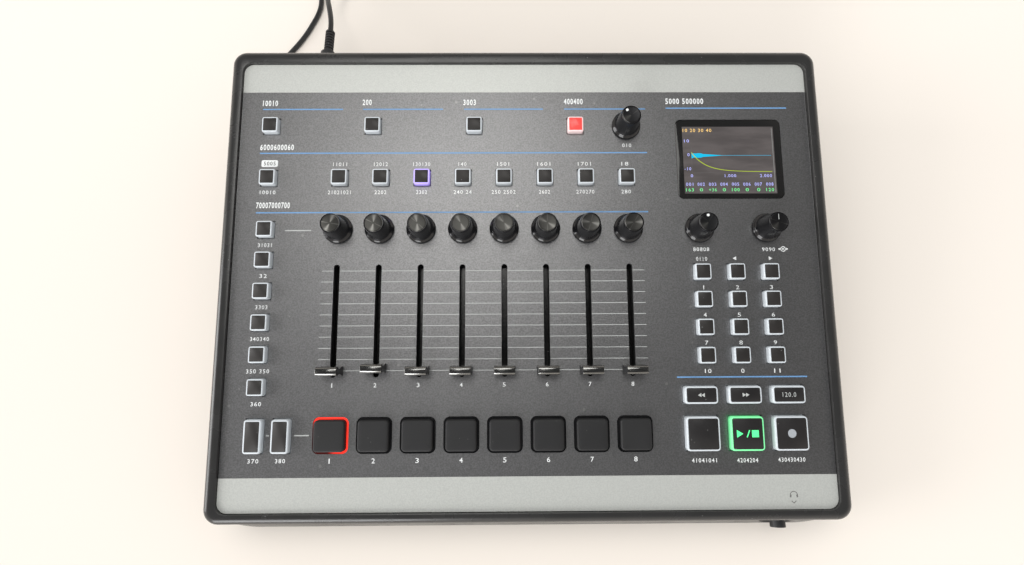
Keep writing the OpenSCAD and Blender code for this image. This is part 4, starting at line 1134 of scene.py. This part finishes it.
@dataclass
class Legends(Builder):
    """Every printed number and sign on the top. They are plain numbers and common signs only."""

    thick: float = 0.03
    heading_h: float = 3.9
    pad_h: float = 2.8
    widest: float = 1.5
    pill: Point = (-160.2, 70.1)
    turning: Point = (158.0, 14.6)
    phones: Point = (153.6, -130.4)

    def number(self, legend: Legend, bold: float = 0.0) -> bpy.types.Object:
        """Makes one number as a thin closed mesh.

        Args:
            legend: what it says and where.
            bold: how far each stroke is thickened, in millimetres.

        Returns:
            The settled object, in panel coordinates.
        """
        Bench.clear()
        bpy.ops.object.text_add(location=(0, 0, 0))
        curve = bpy.context.object.data
        curve.body = legend.text
        curve.align_x = curve.align_y = "CENTER"
        curve.space_character = 1.2
        curve.resolution_u = 2
        curve.offset = bold
        curve.extrude = 0.01
        bpy.ops.object.convert(target="MESH")
        obj = bpy.context.object
        (left, right), (low, high), (under, over) = (
            (min(axis), max(axis)) for axis in zip(*(v.co for v in obj.data.vertices)))
        scale_y = legend.height * MM / (high - low)
        scale_x = min(self.widest * scale_y, legend.width * MM / (right - left))
        obj.data.transform(Matrix.Translation((-(right + left) / 2, -(high + low) / 2, -under)))
        obj.data.transform(Matrix.Diagonal((scale_x, scale_y, self.thick * MM / (over - under), 1)))
        obj.data.transform(Matrix.Translation((legend.x * MM, legend.y * MM, 0)))
        return obj

    def sign(self, sides: int, radius: float, x: float, y: float, turn: float) -> bpy.types.Object:
        """Makes one plain sign with straight sides, such as an arrow head."""
        return Form.disc(radius, sides=sides).thicken(self.thick).put(x, y, turn)

    def arrow(self, x: float, y: float, size: float, facing: int) -> bpy.types.Object:
        """Makes an arrow head that points left (-1) or right (1)."""
        return self.sign(3, size, x, y, -facing * math.pi / 2)

    def arc(self, radius: float, thick: float, x: float, y: float, start: float, end: float,
            steps: int = 20) -> bpy.types.Object:
        """Makes a bent strip by spinning a small plate round a middle."""
        form = Form.plate(thick, 0.02, radius, 0, 0)
        form.edit(edges=lambda a, b: a.y > 0 and b.y > 0)
        bpy.ops.mesh.spin(steps=steps, angle=math.radians(start - end), center=(0, 0, 0), axis=(0, 0, 1))
        form.merge(NEAR)
        bpy.ops.mesh.extrude_region_move(TRANSFORM_OT_translate={"value": (0, 0, self.thick * MM)})
        return form.tidy().put(x, y, math.radians(start))

    def headings(self) -> list[Legend]:
        """Lists the bold numbers above the rules."""
        return [Legend(*row, self.heading_h) for row in (
            ("10010", -161.9, 109.9, 9.5), ("200", -100.7, 110.5, 5.8), ("3003", -35.6, 110.4, 8.0),
            ("400400", 30.5, 110.9, 12.1), ("5000 500000", 101.6, 111.0, 24.3),
            ("6000600060", -156.2, 80.7, 21.1), ("70007000700", -156.7, 43.2, 20.8))]

    def labels(self) -> list[Legend]:
        """Lists the small numbers beside the buttons and knobs."""
        above = (("11011", 8.7), ("12012", 8.7), ("130130", 10.6), ("140", 5.0), ("1501", 7.5),
                 ("1601", 8.2), ("1701", 8.2), ("18", 4.4))
        below = (("21021021", 14.2), ("2202", 7.4), ("2302", 6.8), ("240 24", 11.2), ("250 2502", 14.9),
                 ("2602", 6.9), ("270270", 11.2), ("280", 5.9))
        column = (("31031", 8.5), ("32", 4.5), ("3303", 7.2), ("340340", 11.3), ("350 350", 13.6),
                  ("360", 6.2))
        out = [Legend("10010", -160.5, 51.5, 9.7)]
        for index, ((high, high_w), (low, low_w)) in enumerate(zip(above, below)):
            x, number = LAYOUT.channel(index), str(index + 1)
            out += [Legend(high, x - 0.5, 69.5, high_w), Legend(low, x - 0.3, 51.4, low_w),
                    Legend(number, x - 0.3, -66.6, 1.7), Legend(number, x - 0.1, -109.8, 2.0, self.pad_h)]
        out += [Legend("010", 63.7, 81.6, 5.7), Legend("80808", 107.4, 14.6, 9.9),
                Legend("9090", 149.0, 14.4, 8.0), Legend("0110", 107.3, 8.6, 6.8)]
        for text, (x, y) in zip((*"123456789", "10", "0", "11"), LAYOUT.keypad()):
            out.append(Legend(text, x + 0.9, y - 9.4, 3.9 if len(text) > 1 else 2.0))
        out += [Legend(text, -160.3, 18.1 - index * 19.05, width)
                for index, (text, width) in enumerate(column)]
        out += [Legend(*row) for row in (
            ("370", -160.1, -109.6, 6.4), ("380", -144.4, -109.6, 5.8), ("41041041", 102.6, -110.9, 14.6),
            ("4204204", 128.0, -111.0, 12.3), ("430430430", 153.9, -110.8, 15.9))]
        return out

    def signs(self) -> list[bpy.types.Object]:
        """Makes the arrows over the keypad and the turning sign beside the select knob."""
        x, y = self.turning
        ring = self.arc(1.45, 0.42, x, y, 0, 360, 32)
        dot = self.sign(16, 0.55, x, y, 0)
        return [self.arrow(127.9, 8.9, 1.45, -1), self.arrow(149.5, 8.8, 1.45, 1), ring, dot,
                self.arrow(x - 2.35, y, 0.85, -1), self.arrow(x + 2.35, y, 0.85, 1)]

    def stroke(self, x: float, y: float, length: float, thick: float, turn: float) -> bpy.types.Object:
        """Makes one straight stroke, upright before its turn in degrees."""
        return Form.plate(thick, length).thicken(self.thick).put(x, y, math.radians(turn))

    def headphone_sign(self) -> list[bpy.types.Object]:
        """Makes the headphones and the open arrow head over their socket, on the front band."""
        x, y = self.phones
        cups = [self.stroke(x + side * 1.9, y - 0.75, 1.5, 0.9, side * 8) for side in (-1, 1)]
        point = [self.stroke(153.4 + side * 0.66, -134.5, 1.95, 0.42, side * -48) for side in (-1, 1)]
        return [self.arc(2.1, 0.42, x, y - 0.3, 0, 180), *cups, *point]

    def build(self) -> None:
        """Prints the white numbers and signs, the pill, and the dark signs of the front band."""
        printed = {"slot": "panel_grey"}
        bold = [self.number(legend, 0.022) for legend in self.headings()]
        self.add(bold, "headings", Stock.WHITE, **printed)
        small = [self.number(legend, 0.004) for legend in self.labels()]
        self.add(small + self.signs(), "labels", Stock.WHITE, **printed)
        pill = Form.plate(10.2, 4.4, *self.pill, 0, 1.0, 5).thicken(self.thick)
        self.add(pill.obj, "pill", Stock.WHITE, **printed)
        mark = self.number(Legend("5005", *self.pill, 7.4, 2.5), 0.012)
        self.add(mark, "pill_number", Stock.GREY_INK, **printed, lift=self.thick)
        self.add(self.headphone_sign(), "headphone_sign", Stock.GREY_INK, **printed, lift=self.thick)


@dataclass(frozen=True)
class ButtonShape:
    """Sizes of a push button: a milky body that narrows to its top, with a dark face let into it."""

    width: float
    length: float
    face_in: float
    face_r: float = 0.4
    rise: float = 3.8
    straight: float = 2.2
    rim: float = 0.45
    groove: float = 0.06
    face_up: float = 0.1
    below: float = 3.3
    flange: float = 1.0
    hollow: float = 0.25
    seat: float = 0.24
    chamfer: Point = (0.08, 0.06)
    corner_steps: int = 5

    def body(self) -> Form:
        """Shapes the body at the origin, from its flange to the rim round its face."""
        corner = self.face_in + self.face_r
        form = Form.plate(self.width + 2 * self.flange, self.length + 2 * self.flange, 0, 0, -self.below,
                          corner + self.flange, self.corner_steps)
        form.rise(self.flange).step(self.flange).rise(self.below - self.flange + self.straight)
        form.round_over(self.face_in - self.rim - self.groove, self.rise - self.straight, 6)
        form.step(self.rim).step(self.groove, -self.hollow)
        return form.close()

    def face(self) -> Form:
        """Shapes the dark face that lies in the top of the body."""
        form = Form.plate(self.width - 2 * self.face_in, self.length - 2 * self.face_in, 0, 0,
                          self.rise - self.seat, self.face_r, self.corner_steps)
        form.rise(self.seat + self.face_up - self.chamfer[1]).step(*self.chamfer)
        return form.close()


@dataclass(frozen=True)
class Button:
    """One button: where it stands and how it is finished."""

    place: Point
    body: Finish = Stock.MILKY
    face: Finish = Stock.FACE

    def finish(self, kind: str) -> Finish:
        """Gives the finish of its body or face."""
        return getattr(self, kind)


@dataclass
class Buttons(Builder):
    """All push buttons: four gangs of small ones and eight of their own."""

    small: ButtonShape = ButtonShape(10.0, 10.0, 1.0, 0.35)
    mute: ButtonShape = ButtonShape(10.6, 19.5, 1.25, 0.5)
    wide: ButtonShape = ButtonShape(19.8, 10.5, 1.2, 0.8)
    large: ButtonShape = ButtonShape(19.8, 19.8, 1.15, 1.0)
    violet: int = 3
    red: int = 3

    def gang(self, node: str, shape: ButtonShape, buttons: Sequence[Button]) -> None:
        """Builds the buttons of one node, joined by finish.

        Args:
            node: the CAD node and body that they stand for.
            shape: their common shape.
            buttons: where they stand and how they are finished.
        """
        stands_for = (node,)
        for kind, form in (("body", shape.body()), ("face", shape.face())):
            pattern = form.smooth(50).obj
            finishes = {b.finish(kind).name: b.finish(kind) for b in buttons}
            for _, finish in sorted(finishes.items()):
                copies = [Bench.copy(pattern, "copy", *b.place) for b in buttons if b.finish(kind) == finish]
                self.add(copies, f"{node}_{kind}_{finish.name}", finish, body=node, slot="milky",
                         replaces=stands_for)
                stands_for = ()
            Bench.drop(pattern)

    def icon(self, node: str, parts: Sequence[bpy.types.Object], finish: Finish) -> None:
        """Adds signs to the face of a wide or large button."""
        self.add(parts, f"{node}_sign", finish, body=node, slot="milky",
                 lift=self.wide.rise + self.wide.face_up)

    def build(self) -> None:
        """Builds every button and the signs on the transport buttons."""
        top, program = ([Button(place) for place in row] for row in (LAYOUT.top_row(), LAYOUT.program_row()))
        top[self.red] = Button(top[self.red].place, Stock.RED_BODY, Stock.RED_FACE)
        program[self.violet] = Button(program[self.violet].place, Stock.VIOLET)
        self.gang("top_buttons", self.small, top)
        self.gang("programming_buttons", self.small, program)
        self.gang("performance_buttons", self.small, [Button(p) for p in LAYOUT.perform_column()])
        self.gang("keypad_buttons", self.small, [Button(p) for p in LAYOUT.keypad()])
        for index, node in enumerate(("mute_button", "solo_button")):
            self.gang(node, self.mute, [Button((LAYOUT.left_x + index * LAYOUT.mute_pitch, LAYOUT.pad_y))])
        wide, large = LAYOUT.transport(LAYOUT.wide_y), LAYOUT.transport(LAYOUT.pad_y)
        for node, place in zip(("rewind_button", "forward_button", "tempo_button"), wide):
            self.gang(node, self.wide, [Button(place, face=Stock.FACE_BLACK)])
        for node, place, body in zip(("tap_button", "run_button", "record_button"), large,
                                     (Stock.MILKY, Stock.GREEN, Stock.MILKY)):
            self.gang(node, self.large, [Button(place, body, Stock.FACE_BLACK)])
        signs = Legends()
        for node, (x, y), facing in (("rewind_button", wide[0], -1), ("forward_button", wide[1], 1)):
            heads = [signs.arrow(x + facing * along, y, 1.35, facing) for along in (-1.1, 0.9)]
            self.icon(node, heads, Stock.SIGN)
        self.icon("tempo_button", [signs.number(Legend("120.0", *wide[2], 8.0, 2.7))], Stock.SIGN)
        x, y = large[1]
        stop = Form.plate(4.0, 4.0, x + 4.3, y).thicken(signs.thick).obj
        run = [signs.arrow(x - 5.25, y, 2.5, 1), signs.stroke(x + 0.2, y, 4.4, 0.65, -22), stop]
        self.icon("run_button", run, Stock.GREEN_SIGN)
        self.icon("record_button", [Form.disc(2.45, *large[2], 0, 32).thicken(signs.thick).obj], Stock.DOT)


@dataclass
class Pads(Builder):
    """Eight rubber pads in their light frames."""

    side: float = 18.1
    rise: float = 3.85
    corner: float = 2.25
    edge: float = 1.1
    gap: float = 0.12
    frame_t: float = 1.33
    flange: float = 1.2
    flange_t: float = 1.0
    flange_low: float = -4.5
    frame_low: float = -3.2
    frame_top: float = -0.7
    lit: int = 0
    crown: float = 0.12

    def pad(self) -> Form:
        """Shapes a pad at the origin, with a softly crowned top."""
        foot = self.side + 2 * self.flange
        form = Form.plate(foot, foot, 0, 0, self.flange_low, self.corner + self.flange)
        form.rise(self.flange_t).step(self.flange)
        form.rise(self.rise - self.edge - self.crown - self.flange_low - self.flange_t)
        form.round_over(self.edge, self.edge, 5)
        for share, lift in ((0.72, 0.6), (0.55, 0.4)):
            form.rise(self.crown * lift).taper((share, share), (0, 0, self.rise))
        return form.close().smooth(60)

    def light_frame(self) -> Form:
        """Shapes a light frame at the origin, its upper edges chamfered."""
        inner, corner = self.side + 2 * self.gap, self.corner + self.gap
        outer, around = inner + 2 * self.frame_t - 0.1, corner + self.frame_t - 0.05
        soft, top = 0.15, self.frame_top
        sections = ((outer, around, self.frame_low), (outer, around, top - soft),
                    (outer - 2 * soft, around - soft, top), (inner + 2 * soft, corner + soft, top + 0.02),
                    (inner, corner, top - soft), (inner, corner, self.frame_low + 0.02))
        return loft("light_frame", [Ring(size, size, r, 0.0, w) for size, r, w in sections]).smooth()

    def build(self) -> None:
        """Builds the pads and their frames, one frame lit."""
        pattern = self.pad().obj
        for index in range(8):
            node = f"pad_{index + 1}"
            pad = Bench.copy(pattern, node, LAYOUT.channel(index), LAYOUT.pad_y)
            self.add(pad, f"{node}_cap", Stock.PAD, body=node, slot="rubber", replaces=(node,))
        Bench.drop(pattern)
        ring = self.light_frame().obj
        rings = [Bench.copy(ring, "ring", LAYOUT.channel(i), LAYOUT.pad_y) for i in range(8)]
        Bench.drop(ring)
        lit = rings.pop(self.lit)
        self.add(lit, "pad_frame_lit", Stock.RED_RING, slot="milky")
        self.add(rings, "pad_frames", Stock.SMOKED, slot="milky", replaces=("pad_light_frames",))


class KnobKind(Enum):
    """What marks a knob's top disc."""

    CHANNEL = "channel"
    DOT = "dot"
    LINE = "line"


@dataclass(frozen=True)
class KnobMark:
    """A knob's node, its place and how its disc looks, with the angles and strength of its painted highlight.
    """

    node: str
    place: Point
    kind: KnobKind
    highlight_wedges: tuple[float, ...]
    lines: tuple[float, ...]
    bright: float
    dot: Point = (0.0, 0.0)


@dataclass
class Knobs(Builder):
    """Skirted knobs with spun discs let into their tops."""

    sides: int = 72
    height: float = 16.5
    disc_r: float = 5.25
    flutes: int = 36
    flute_share: float = 0.16 / 7
    flute_low: float = 3.2
    flute_high: float = 16.2
    flute_in: float = 5.5
    shaft_r: float = 3.0
    shaft_low: float = -10.6
    shaft_high: float = 0.8
    profile: tuple[Point, ...] = (
        (9.0, 0.9), (9.0, 1.7), (8.9, 1.95), (8.3, 2.4), (7.8, 2.85), (7.45, 3.4), (7.2, 4.3), (7.0, 6.0),
        (6.8, 8.0), (6.6, 10.0), (6.4, 12.0), (6.22, 14.2), (6.08, 15.6), (5.95, 16.2), (5.78, 16.43),
        (5.6, 16.5), (5.32, 16.5), (5.25, 16.25))

    def skirt(self) -> Form:
        """Raises the skirt ring by ring from a disc, and draws its flutes in."""
        first = self.profile[0]
        form = Form.disc(first[0], 0, 0, first[1], self.sides).top()
        for (r1, z1), (r2, z2) in zip(self.profile, self.profile[1:]):
            if z2 < z1:
                bpy.ops.mesh.inset(thickness=(r1 - r2) * MM, depth=(z2 - z1) * MM)
                break
            if r1 > r2 and z2 == z1:
                bpy.ops.mesh.inset(thickness=(r1 - r2) * MM, depth=0)
                continue
            form.rise(z2 - z1).taper((r2 / r1, r2 / r1), (0, 0, z2))
        form.close()

        def in_flute(v: Vector) -> bool:
            """Tells whether a vertex lies in the bottom of a flute."""
            column = round(math.degrees(math.atan2(v.y, v.x)) / (360 / self.sides))
            return (column % (self.sides // self.flutes) == 0 and self.flute_low < v.z < self.flute_high
                    and math.hypot(v.x, v.y) > self.flute_in)
        form.edit(verts=in_flute)
        form.taper((1 - self.flute_share, 1 - self.flute_share), (0, 0, 0))
        return form.tidy().smooth(38)

    def shaft(self) -> Form:
        """Shapes the shaft under a knob."""
        form = Form.disc(self.shaft_r, 0, 0, self.shaft_low, 32)
        return form.thicken(self.shaft_high - self.shaft_low).smooth()

    def disc(self) -> Form:
        """Shapes the turned disc, very slightly dished, with a rounded lip."""
        form = Form.disc(self.disc_r - 0.05, 0, 0, self.height - 0.35, 64)
        form.rise(0.35).step(0.1, 0.1).step(0.16, 0.04).step(0.16, -0.04).step(0.25, -0.05)
        return form.close().smooth(25)

    def marks(self) -> list[KnobMark]:
        """Lists every knob."""
        # the angles and strengths of each disc's painted highlight, stronger on the first channel knobs
        out = [KnobMark(f"channel_knob_{i + 1}", (LAYOUT.channel(i), LAYOUT.knob_y), KnobKind.CHANNEL,
                        (68.0 + 17 * i, 242.0 + 17 * i), (170.0 - 16 * i, 350.0 - 16 * i),
                        0.32 - 0.045 * min(i, 3)) for i in range(8)]
        out.append(KnobMark("gain_knob", LAYOUT.gain, KnobKind.DOT, (215.0,), (35.0, 120.0), 0.13,
                            (-2.5, 3.1)))
        out.append(KnobMark("volume_knob", (LAYOUT.master_x - LAYOUT.key_x, LAYOUT.knob_y), KnobKind.DOT,
                            (218.0,), (60.0, 140.0), 0.13, (-0.2, 4.1)))
        out.append(KnobMark("select_knob", (LAYOUT.master_x + LAYOUT.key_x, LAYOUT.knob_y), KnobKind.LINE,
                            (232.0,), (160.0, -20.0), 0.13, (0.0, 3.0)))
        return out

    def build(self) -> None:
        """Builds the knobs."""
        skirt, shaft, disc = self.skirt().obj, self.shaft().obj, self.disc().obj
        body = Bench.join("knob_pattern", [skirt, shaft])
        for mark in self.marks():
            x, y = mark.place
            self.add(Bench.copy(body, mark.node, x, y), f"{mark.node}_skirt", Stock.KNOB, body=mark.node,
                     slot="knob_black", replaces=(mark.node,))
            channel = mark.kind is KnobKind.CHANNEL
            # the disc's colour carries its painted highlight
            finish = SpunDisc(f"{mark.node}_turned", (x, y, self.height),
                              (0.058, 0.057, 0.053) if channel else (0.035, 0.035, 0.037),
                              dim((1.0, 0.985, 0.93), mark.bright), mark.highlight_wedges, mark.lines,
                              17.0 if channel else 30.0)
            self.add(Bench.copy(disc, f"{mark.node}_disc", x, y), f"{mark.node}_disc", finish, body=mark.node,
                     slot="bare_metal")
            if mark.kind is KnobKind.DOT:
                dot = Form.disc(0.85, x + mark.dot[0], y + mark.dot[1], self.height, 24)
                dot.rise(0.1).step(0.1, 0.03).close()
                self.add(dot.obj, f"{mark.node}_dot", Stock.WHITE, body=mark.node, slot="knob_black")
            if mark.kind is KnobKind.LINE:
                line = Form.plate(0.35, 3.4, x + mark.dot[0], y + mark.dot[1], self.height, 0.1, 2)
                line.rise(0.12).close()
                self.add(line.obj, f"{mark.node}_line", Stock.SCALE, body=mark.node, slot="knob_black")
        Bench.drop(body, disc)


@dataclass
class Faders(Builder):
    """Bow-tie caps on flat levers."""

    width: float = 12.8
    top_width: float = 12.1
    outline: tuple[Point, ...] = (
        (5.2, 1.2), (5.6, 1.5), (5.6, 2.6), (4.9, 3.9), (3.9, 5.6), (3.2, 7.35), (3.6, 8.9), (4.7, 10.2),
        (5.15, 10.8), (5.2, 11.4), (5.12, 11.95), (4.8, 12.45), (4.3, 12.85), (3.6, 13.15), (2.7, 13.36),
        (1.5, 13.5))
    lever_w: float = 1.2
    lever_d: float = 4.0
    lever_low: float = -10.6
    lever_high: float = 1.6

    def cap(self) -> Form:
        """Raises the cap step by step, narrowing at its waist."""
        (depth, low), (_, high) = self.outline[0], self.outline[-1]

        def width(z: float) -> float:
            """Gives the cap's width at a height."""
            return self.width + (self.top_width - self.width) * (z - low) / (high - low)
        form = Form.plate(self.width, depth, 0, 0, low)
        for (d1, z1), (d2, z2) in zip(self.outline, self.outline[1:]):
            form.rise(z2 - z1).taper((width(z2) / width(z1), d2 / d1), (0, 0, z2))
        form.close()
        return form.soften(0.2, 2, 60).tidy().smooth(38)

    def lever(self) -> Form:
        """Shapes the lever that goes down through the slot."""
        form = Form.plate(self.lever_w, self.lever_d, 0, 0, self.lever_low, 0.3, 3)
        return form.thicken(self.lever_high - self.lever_low).smooth()

    def build(self) -> None:
        """Builds the eight faders at their rest places."""
        cap, lever = self.cap().obj, self.lever().obj
        for index in range(8):
            node = f"fader_{index + 1}"
            up = LAYOUT.second_fader_up if index == 1 else 0.0
            at = (LAYOUT.channel(index), LAYOUT.fader_y - LAYOUT.travel / 2 + up)
            piece = self.add(Bench.copy(cap, node, *at), f"{node}_cap", Stock.FADER, body=node,
                             slot="fader_black", replaces=(node,))
            piece.data.materials.append(Stock.FADER_END.material())
            for face in piece.data.polygons:
                face.material_index = int(abs(face.normal.x) > 0.8)
            self.add(Bench.copy(lever, node, *at), f"{node}_lever", Stock.STEEL, body=node, slot="bare_metal")
        Bench.drop(cap, lever)


@dataclass(frozen=True)
class DisplayGlass(Finish):
    """Glossy window: black border, a dim picture area with soft streaks of painted reflection, a wave that
    dies away and a falling curve.
    """

    centre: Place3 = (0, 0, 0)
    area: Point = (58.0, 43.8)
    area_off: Point = (-0.1, -0.6)
    border: Colour = (0.014, 0.0135, 0.013)
    ground: Colour = shade(95, 89, 88)
    wave: Colour = shade(0, 205, 250)
    wave_line: Colour = shade(80, 170, 205)
    curve: Colour = shade(185, 205, 60)
    axis: Colour = shade(110, 108, 108)
    wave_x: float = -23.7
    wave_y: float = 2.9
    wave_end: float = 26.8
    curve_top: float = 4.9
    curve_low: float = -7.75
    curve_fall: float = 8.3
    line_half: float = 0.16

    def mix(self, tree: Tree) -> bpy.types.Material:
        """Builds the picture from masks in panel millimetres."""
        x, y, _ = tree.panel(self.centre)
        x, y = x - self.area_off[0], y - self.area_off[1]
        inside = (abs(x) < self.area[0] / 2) * (abs(y) < self.area[1] / 2)
        along = x - self.wave_x
        started = (along > 0) * (x < self.wave_end)
        lobe = tree.math("MAXIMUM", 1 - abs((along - 4.6) / 4.4) ** 2.2, 0.0) * 1.5
        burst = tree.math("MAXIMUM", lobe, (along < 1.3) * 2.05 * (1 - along * 0.3))
        tail = (1 - along / 21) * 1.5
        half = tree.math("MAXIMUM", tree.math("MAXIMUM", burst, tail), self.line_half)
        wave = (abs(y - self.wave_y) < half) * started
        fade = along.ramp(17, 21)
        left = tree.math("EXPONENT", (along * -1) / self.curve_fall)
        fall = left * (self.curve_top - self.curve_low) + self.curve_low
        curve = (abs(y - fall) < (0.2 + 0.2 * (left * 1.35))) * started
        edge = (abs(x - self.area[0] / 2 + 0.9) < 0.22) * (abs(y) < self.area[1] / 2 - 0.9)
        axes = (abs(x - self.wave_x) < 0.12) * (abs(y + 1.6) < 10.5)
        foot = (abs(y + 8.4) < 0.1) * started
        # painted reflection: streaks along a slightly turned axis lighten and darken the ground's glow
        streak_place = tree.place(PANEL.point(*self.centre), (-PANEL.tilt, 0, 0.6), (0.25, 1, 1))
        painted_reflection_streaks = tree.noise(streak_place, 7, 3, 0.5)
        ground = tree.mix(painted_reflection_streaks.ramp(0.35, 0.65), dim(self.ground, 0.82),
                          dim(self.ground, 1.16))
        lit = tree.mix(axes * 0.5, ground, self.axis)
        lit = tree.mix(foot * 0.5, lit, self.axis)
        lit = tree.mix(edge * 0.8, lit, shade(150, 150, 148))
        lit = tree.mix(wave, lit, tree.mix(fade, self.wave, self.wave_line))
        lit = tree.mix(curve, lit, self.curve)
        glow = tree.mix(inside, BLACK, lit)
        base = tree.mix(inside, self.border, (0.01, 0.01, 0.01))
        dust = tree.specks(tree.place(), 1.4, 0.02)
        return tree.surface(Base_Color=base, Roughness=0.12 + dust * 0.4, Emission_Color=glow,
                            Emission_Strength=0.92)


@dataclass
class Display(Builder):
    """The display's window and the numbers of its picture."""

    width: float = 66.5
    length: float = 51.6
    corner: float = 3.5
    low: float = -2.0
    top: float = -0.2
    area_left: float = 29.1
    area_top: float = 21.3

    def window(self) -> None:
        """Builds the window with a polished edge."""
        x, y = LAYOUT.window
        form = Form.plate(self.width, self.length, x, y, self.low, self.corner, 8)
        form.rise(self.top - self.low - 0.15).step(0.05, 0.1).step(0.15, 0.05)
        form.close().smooth(30)
        finish = DisplayGlass("display_glass", (x, y, 0))
        self.add(form.obj, "display_window", finish, slot="window_black", replaces=("screen_window",))

    def digits(self) -> None:
        """Prints the numbers of the picture just over the glass."""
        left, top = LAYOUT.window[0] - self.area_left, LAYOUT.window[1] + self.area_top
        signs = Legends()
        title = [Legend("10 20 30 40", left + 9.6, top - 2.4, 18.3, 2.2)]
        axes = [Legend(text, left + x, top - y, width, 2.0) for text, x, y, width in (
            ("10", 2.6, 9.4, 3.2), ("0", 3.4, 18.5, 1.4), ("-10", 2.6, 27.7, 4.2), ("0", 4.9, 32.3, 1.5),
            ("1.000", 29.2, 32.3, 7.2), ("2.000", 51.6, 32.3, 7.6))]
        columns = [left + 3.2 + index * 7.2 for index in range(8)]
        axes += [Legend(f"00{index + 1}", x, top - 37.8, 4.6, 2.1) for index, x in enumerate(columns)]
        texts = ("163", "0", "+36", "0", "100", "0", "0", "120")
        values = [Legend(text, x, top - 41.4, 4.9, 2.1) for text, x in zip(texts, columns)]
        rows = {"picture_title": (Stock.DIGITS_ORANGE, title), "picture_axes": (Stock.DIGITS_BLUE, axes),
                "picture_values": (Stock.DIGITS_GREEN, values)}
        for name, (finish, legends) in rows.items():
            parts = [signs.number(legend, 0.008) for legend in legends]
            self.add(parts, name, finish, slot="window_black", lift=self.top + 0.02)

    def build(self) -> None:
        """Builds the window and its numbers."""
        self.window()
        self.digits()


@dataclass
class Studio:
    """Camera, table, lamps and surroundings."""

    camera_at: Place3 = (-12.239, -93.606, 377.632)
    camera_axes: tuple[Place3, Place3, Place3] = (
        (0.99994865, 0.00420999, -0.00921782), (-0.00655902, 0.96226573, -0.27203244),
        (0.00772474, 0.27207893, 0.96224393))
    focal_px: float = 540.0
    picture_w: float = 1024.0
    sensor: float = 36.0
    table_colour: Colour = shade(246, 238, 228)
    table_size: float = 9.0
    ceiling: Colour = (0.07, 0.07, 0.07)
    fill: float = 0.75
    fill_colour: Colour = (0.95, 0.97, 1.0)
    windows: tuple[tuple[str, Place3, float], ...] = (
        ("left", (-2.6, -0.3, 0.8), 36.0), ("front", (-1.1, -2.5, 0.9), 40.0))

    def camera(self) -> None:
        """Sets up the camera."""
        Bench.clear()
        bpy.ops.object.camera_add()
        camera = bpy.context.object
        camera.name = "camera"
        turn = Matrix(self.camera_axes).to_4x4()
        camera.matrix_world = Matrix.Translation(Vector(self.camera_at) * MM) @ turn
        camera.data.sensor_width = self.sensor
        camera.data.sensor_fit = "HORIZONTAL"
        camera.data.lens = self.focal_px / self.picture_w * self.sensor
        camera.data.clip_start = 0.01
        camera.data.clip_end = 50
        bpy.context.scene.camera = camera

    def table(self) -> None:
        """Makes the pale table top."""
        form = Form.plate(self.table_size * 1000, self.table_size * 1000, 0, 0, 0)
        form.obj.name = "table"
        tree = Tree(bpy.data.materials.new("table_top"))
        drift = tree.noise(tree.place(), 400, 3)
        colour = tree.mix(drift, dim(self.table_colour, 0.985), self.table_colour)
        diffuse = tree.node("ShaderNodeBsdfDiffuse", None, {"Color": colour, "Roughness": 0.5})
        tree.node("ShaderNodeOutputMaterial", None, {"Surface": diffuse["BSDF"]})
        form.obj.data.materials.append(tree.owner)

    def lamp(self, name: str, at: Place3, aim: Place3, size: Point, power: float, colour: Colour) -> None:
        """Adds one soft rectangular lamp.

        Args:
            name: its name.
            at: its place, in metres.
            aim: the point that it faces.
            size: its two sides, in metres.
            power: its power, in watts.
            colour: its colour.
        """
        Bench.clear()
        bpy.ops.object.light_add(type="AREA", location=at)
        lamp = bpy.context.object
        lamp.name = name
        lamp.data.shape = "RECTANGLE"
        lamp.data.size, lamp.data.size_y = size
        lamp.data.energy = power
        lamp.data.color = colour
        lamp.rotation_euler = (Vector(aim) - Vector(at)).to_track_quat("-Z", "Y").to_euler()

    def lamps(self) -> None:
        """Places a ceiling panel that the sheet metal mirrors, and windows at the left and front."""
        self.lamp("ceiling", (-0.17, 0.3, 1.53), (-0.03, 0.03, 0.07), (0.8, 0.7), 6.3, (1.0, 0.985, 0.95))
        for side, at, power in self.windows:
            self.lamp(f"window_{side}", at, (0, 0, 0.07), (1.3, 1.5), power, (0.98, 0.985, 1.0))

    def surroundings(self) -> None:
        """Lights the scene from all round, and shows a pale wall under a grey ceiling to camera and gloss."""
        world = bpy.data.worlds.new("surroundings")
        bpy.context.scene.world = world
        tree = Tree(world)
        path = tree.node("ShaderNodeLightPath")
        seen = tree.math("MAXIMUM", path["Is Camera Ray"], path["Is Transmission Ray"])
        seen = tree.math("MAXIMUM", seen, path["Is Glossy Ray"])
        _, _, height = tree.split(tree.node("ShaderNodeTexCoord")["Generated"])
        wall = tree.node("ShaderNodeValToRGB", {"stops": ((0.3, self.table_colour), (0.75, self.ceiling))},
                         {"Fac": height})["Color"]
        fill = tree.node("ShaderNodeBackground", None, {"Color": self.fill_colour, "Strength": self.fill})
        pale = tree.node("ShaderNodeBackground", None, {"Color": wall})
        shown = tree.node("ShaderNodeMixShader", None, {0: seen, 1: fill, 2: pale})
        tree.node("ShaderNodeOutputWorld", None, {"Surface": shown})

    def view(self) -> None:
        """Sets the plain view transform."""
        bpy.context.scene.view_settings.view_transform = "Standard"


def main() -> None:
    """Builds the camera and the lead first, then the rest."""
    logging.basicConfig(level=logging.INFO, format="%(message)s")
    studio = Studio()
    studio.camera()
    Lead().build()
    for assembly in (Case(), FacePanel(), Legends(), Buttons(), Pads(), Knobs(), Faders(), Display()):
        assembly.build()
        LOG.info("built %s", type(assembly).__name__)
    studio.table()
    studio.lamps()
    studio.surroundings()
    studio.view()


if __name__ == "__main__":
    main()
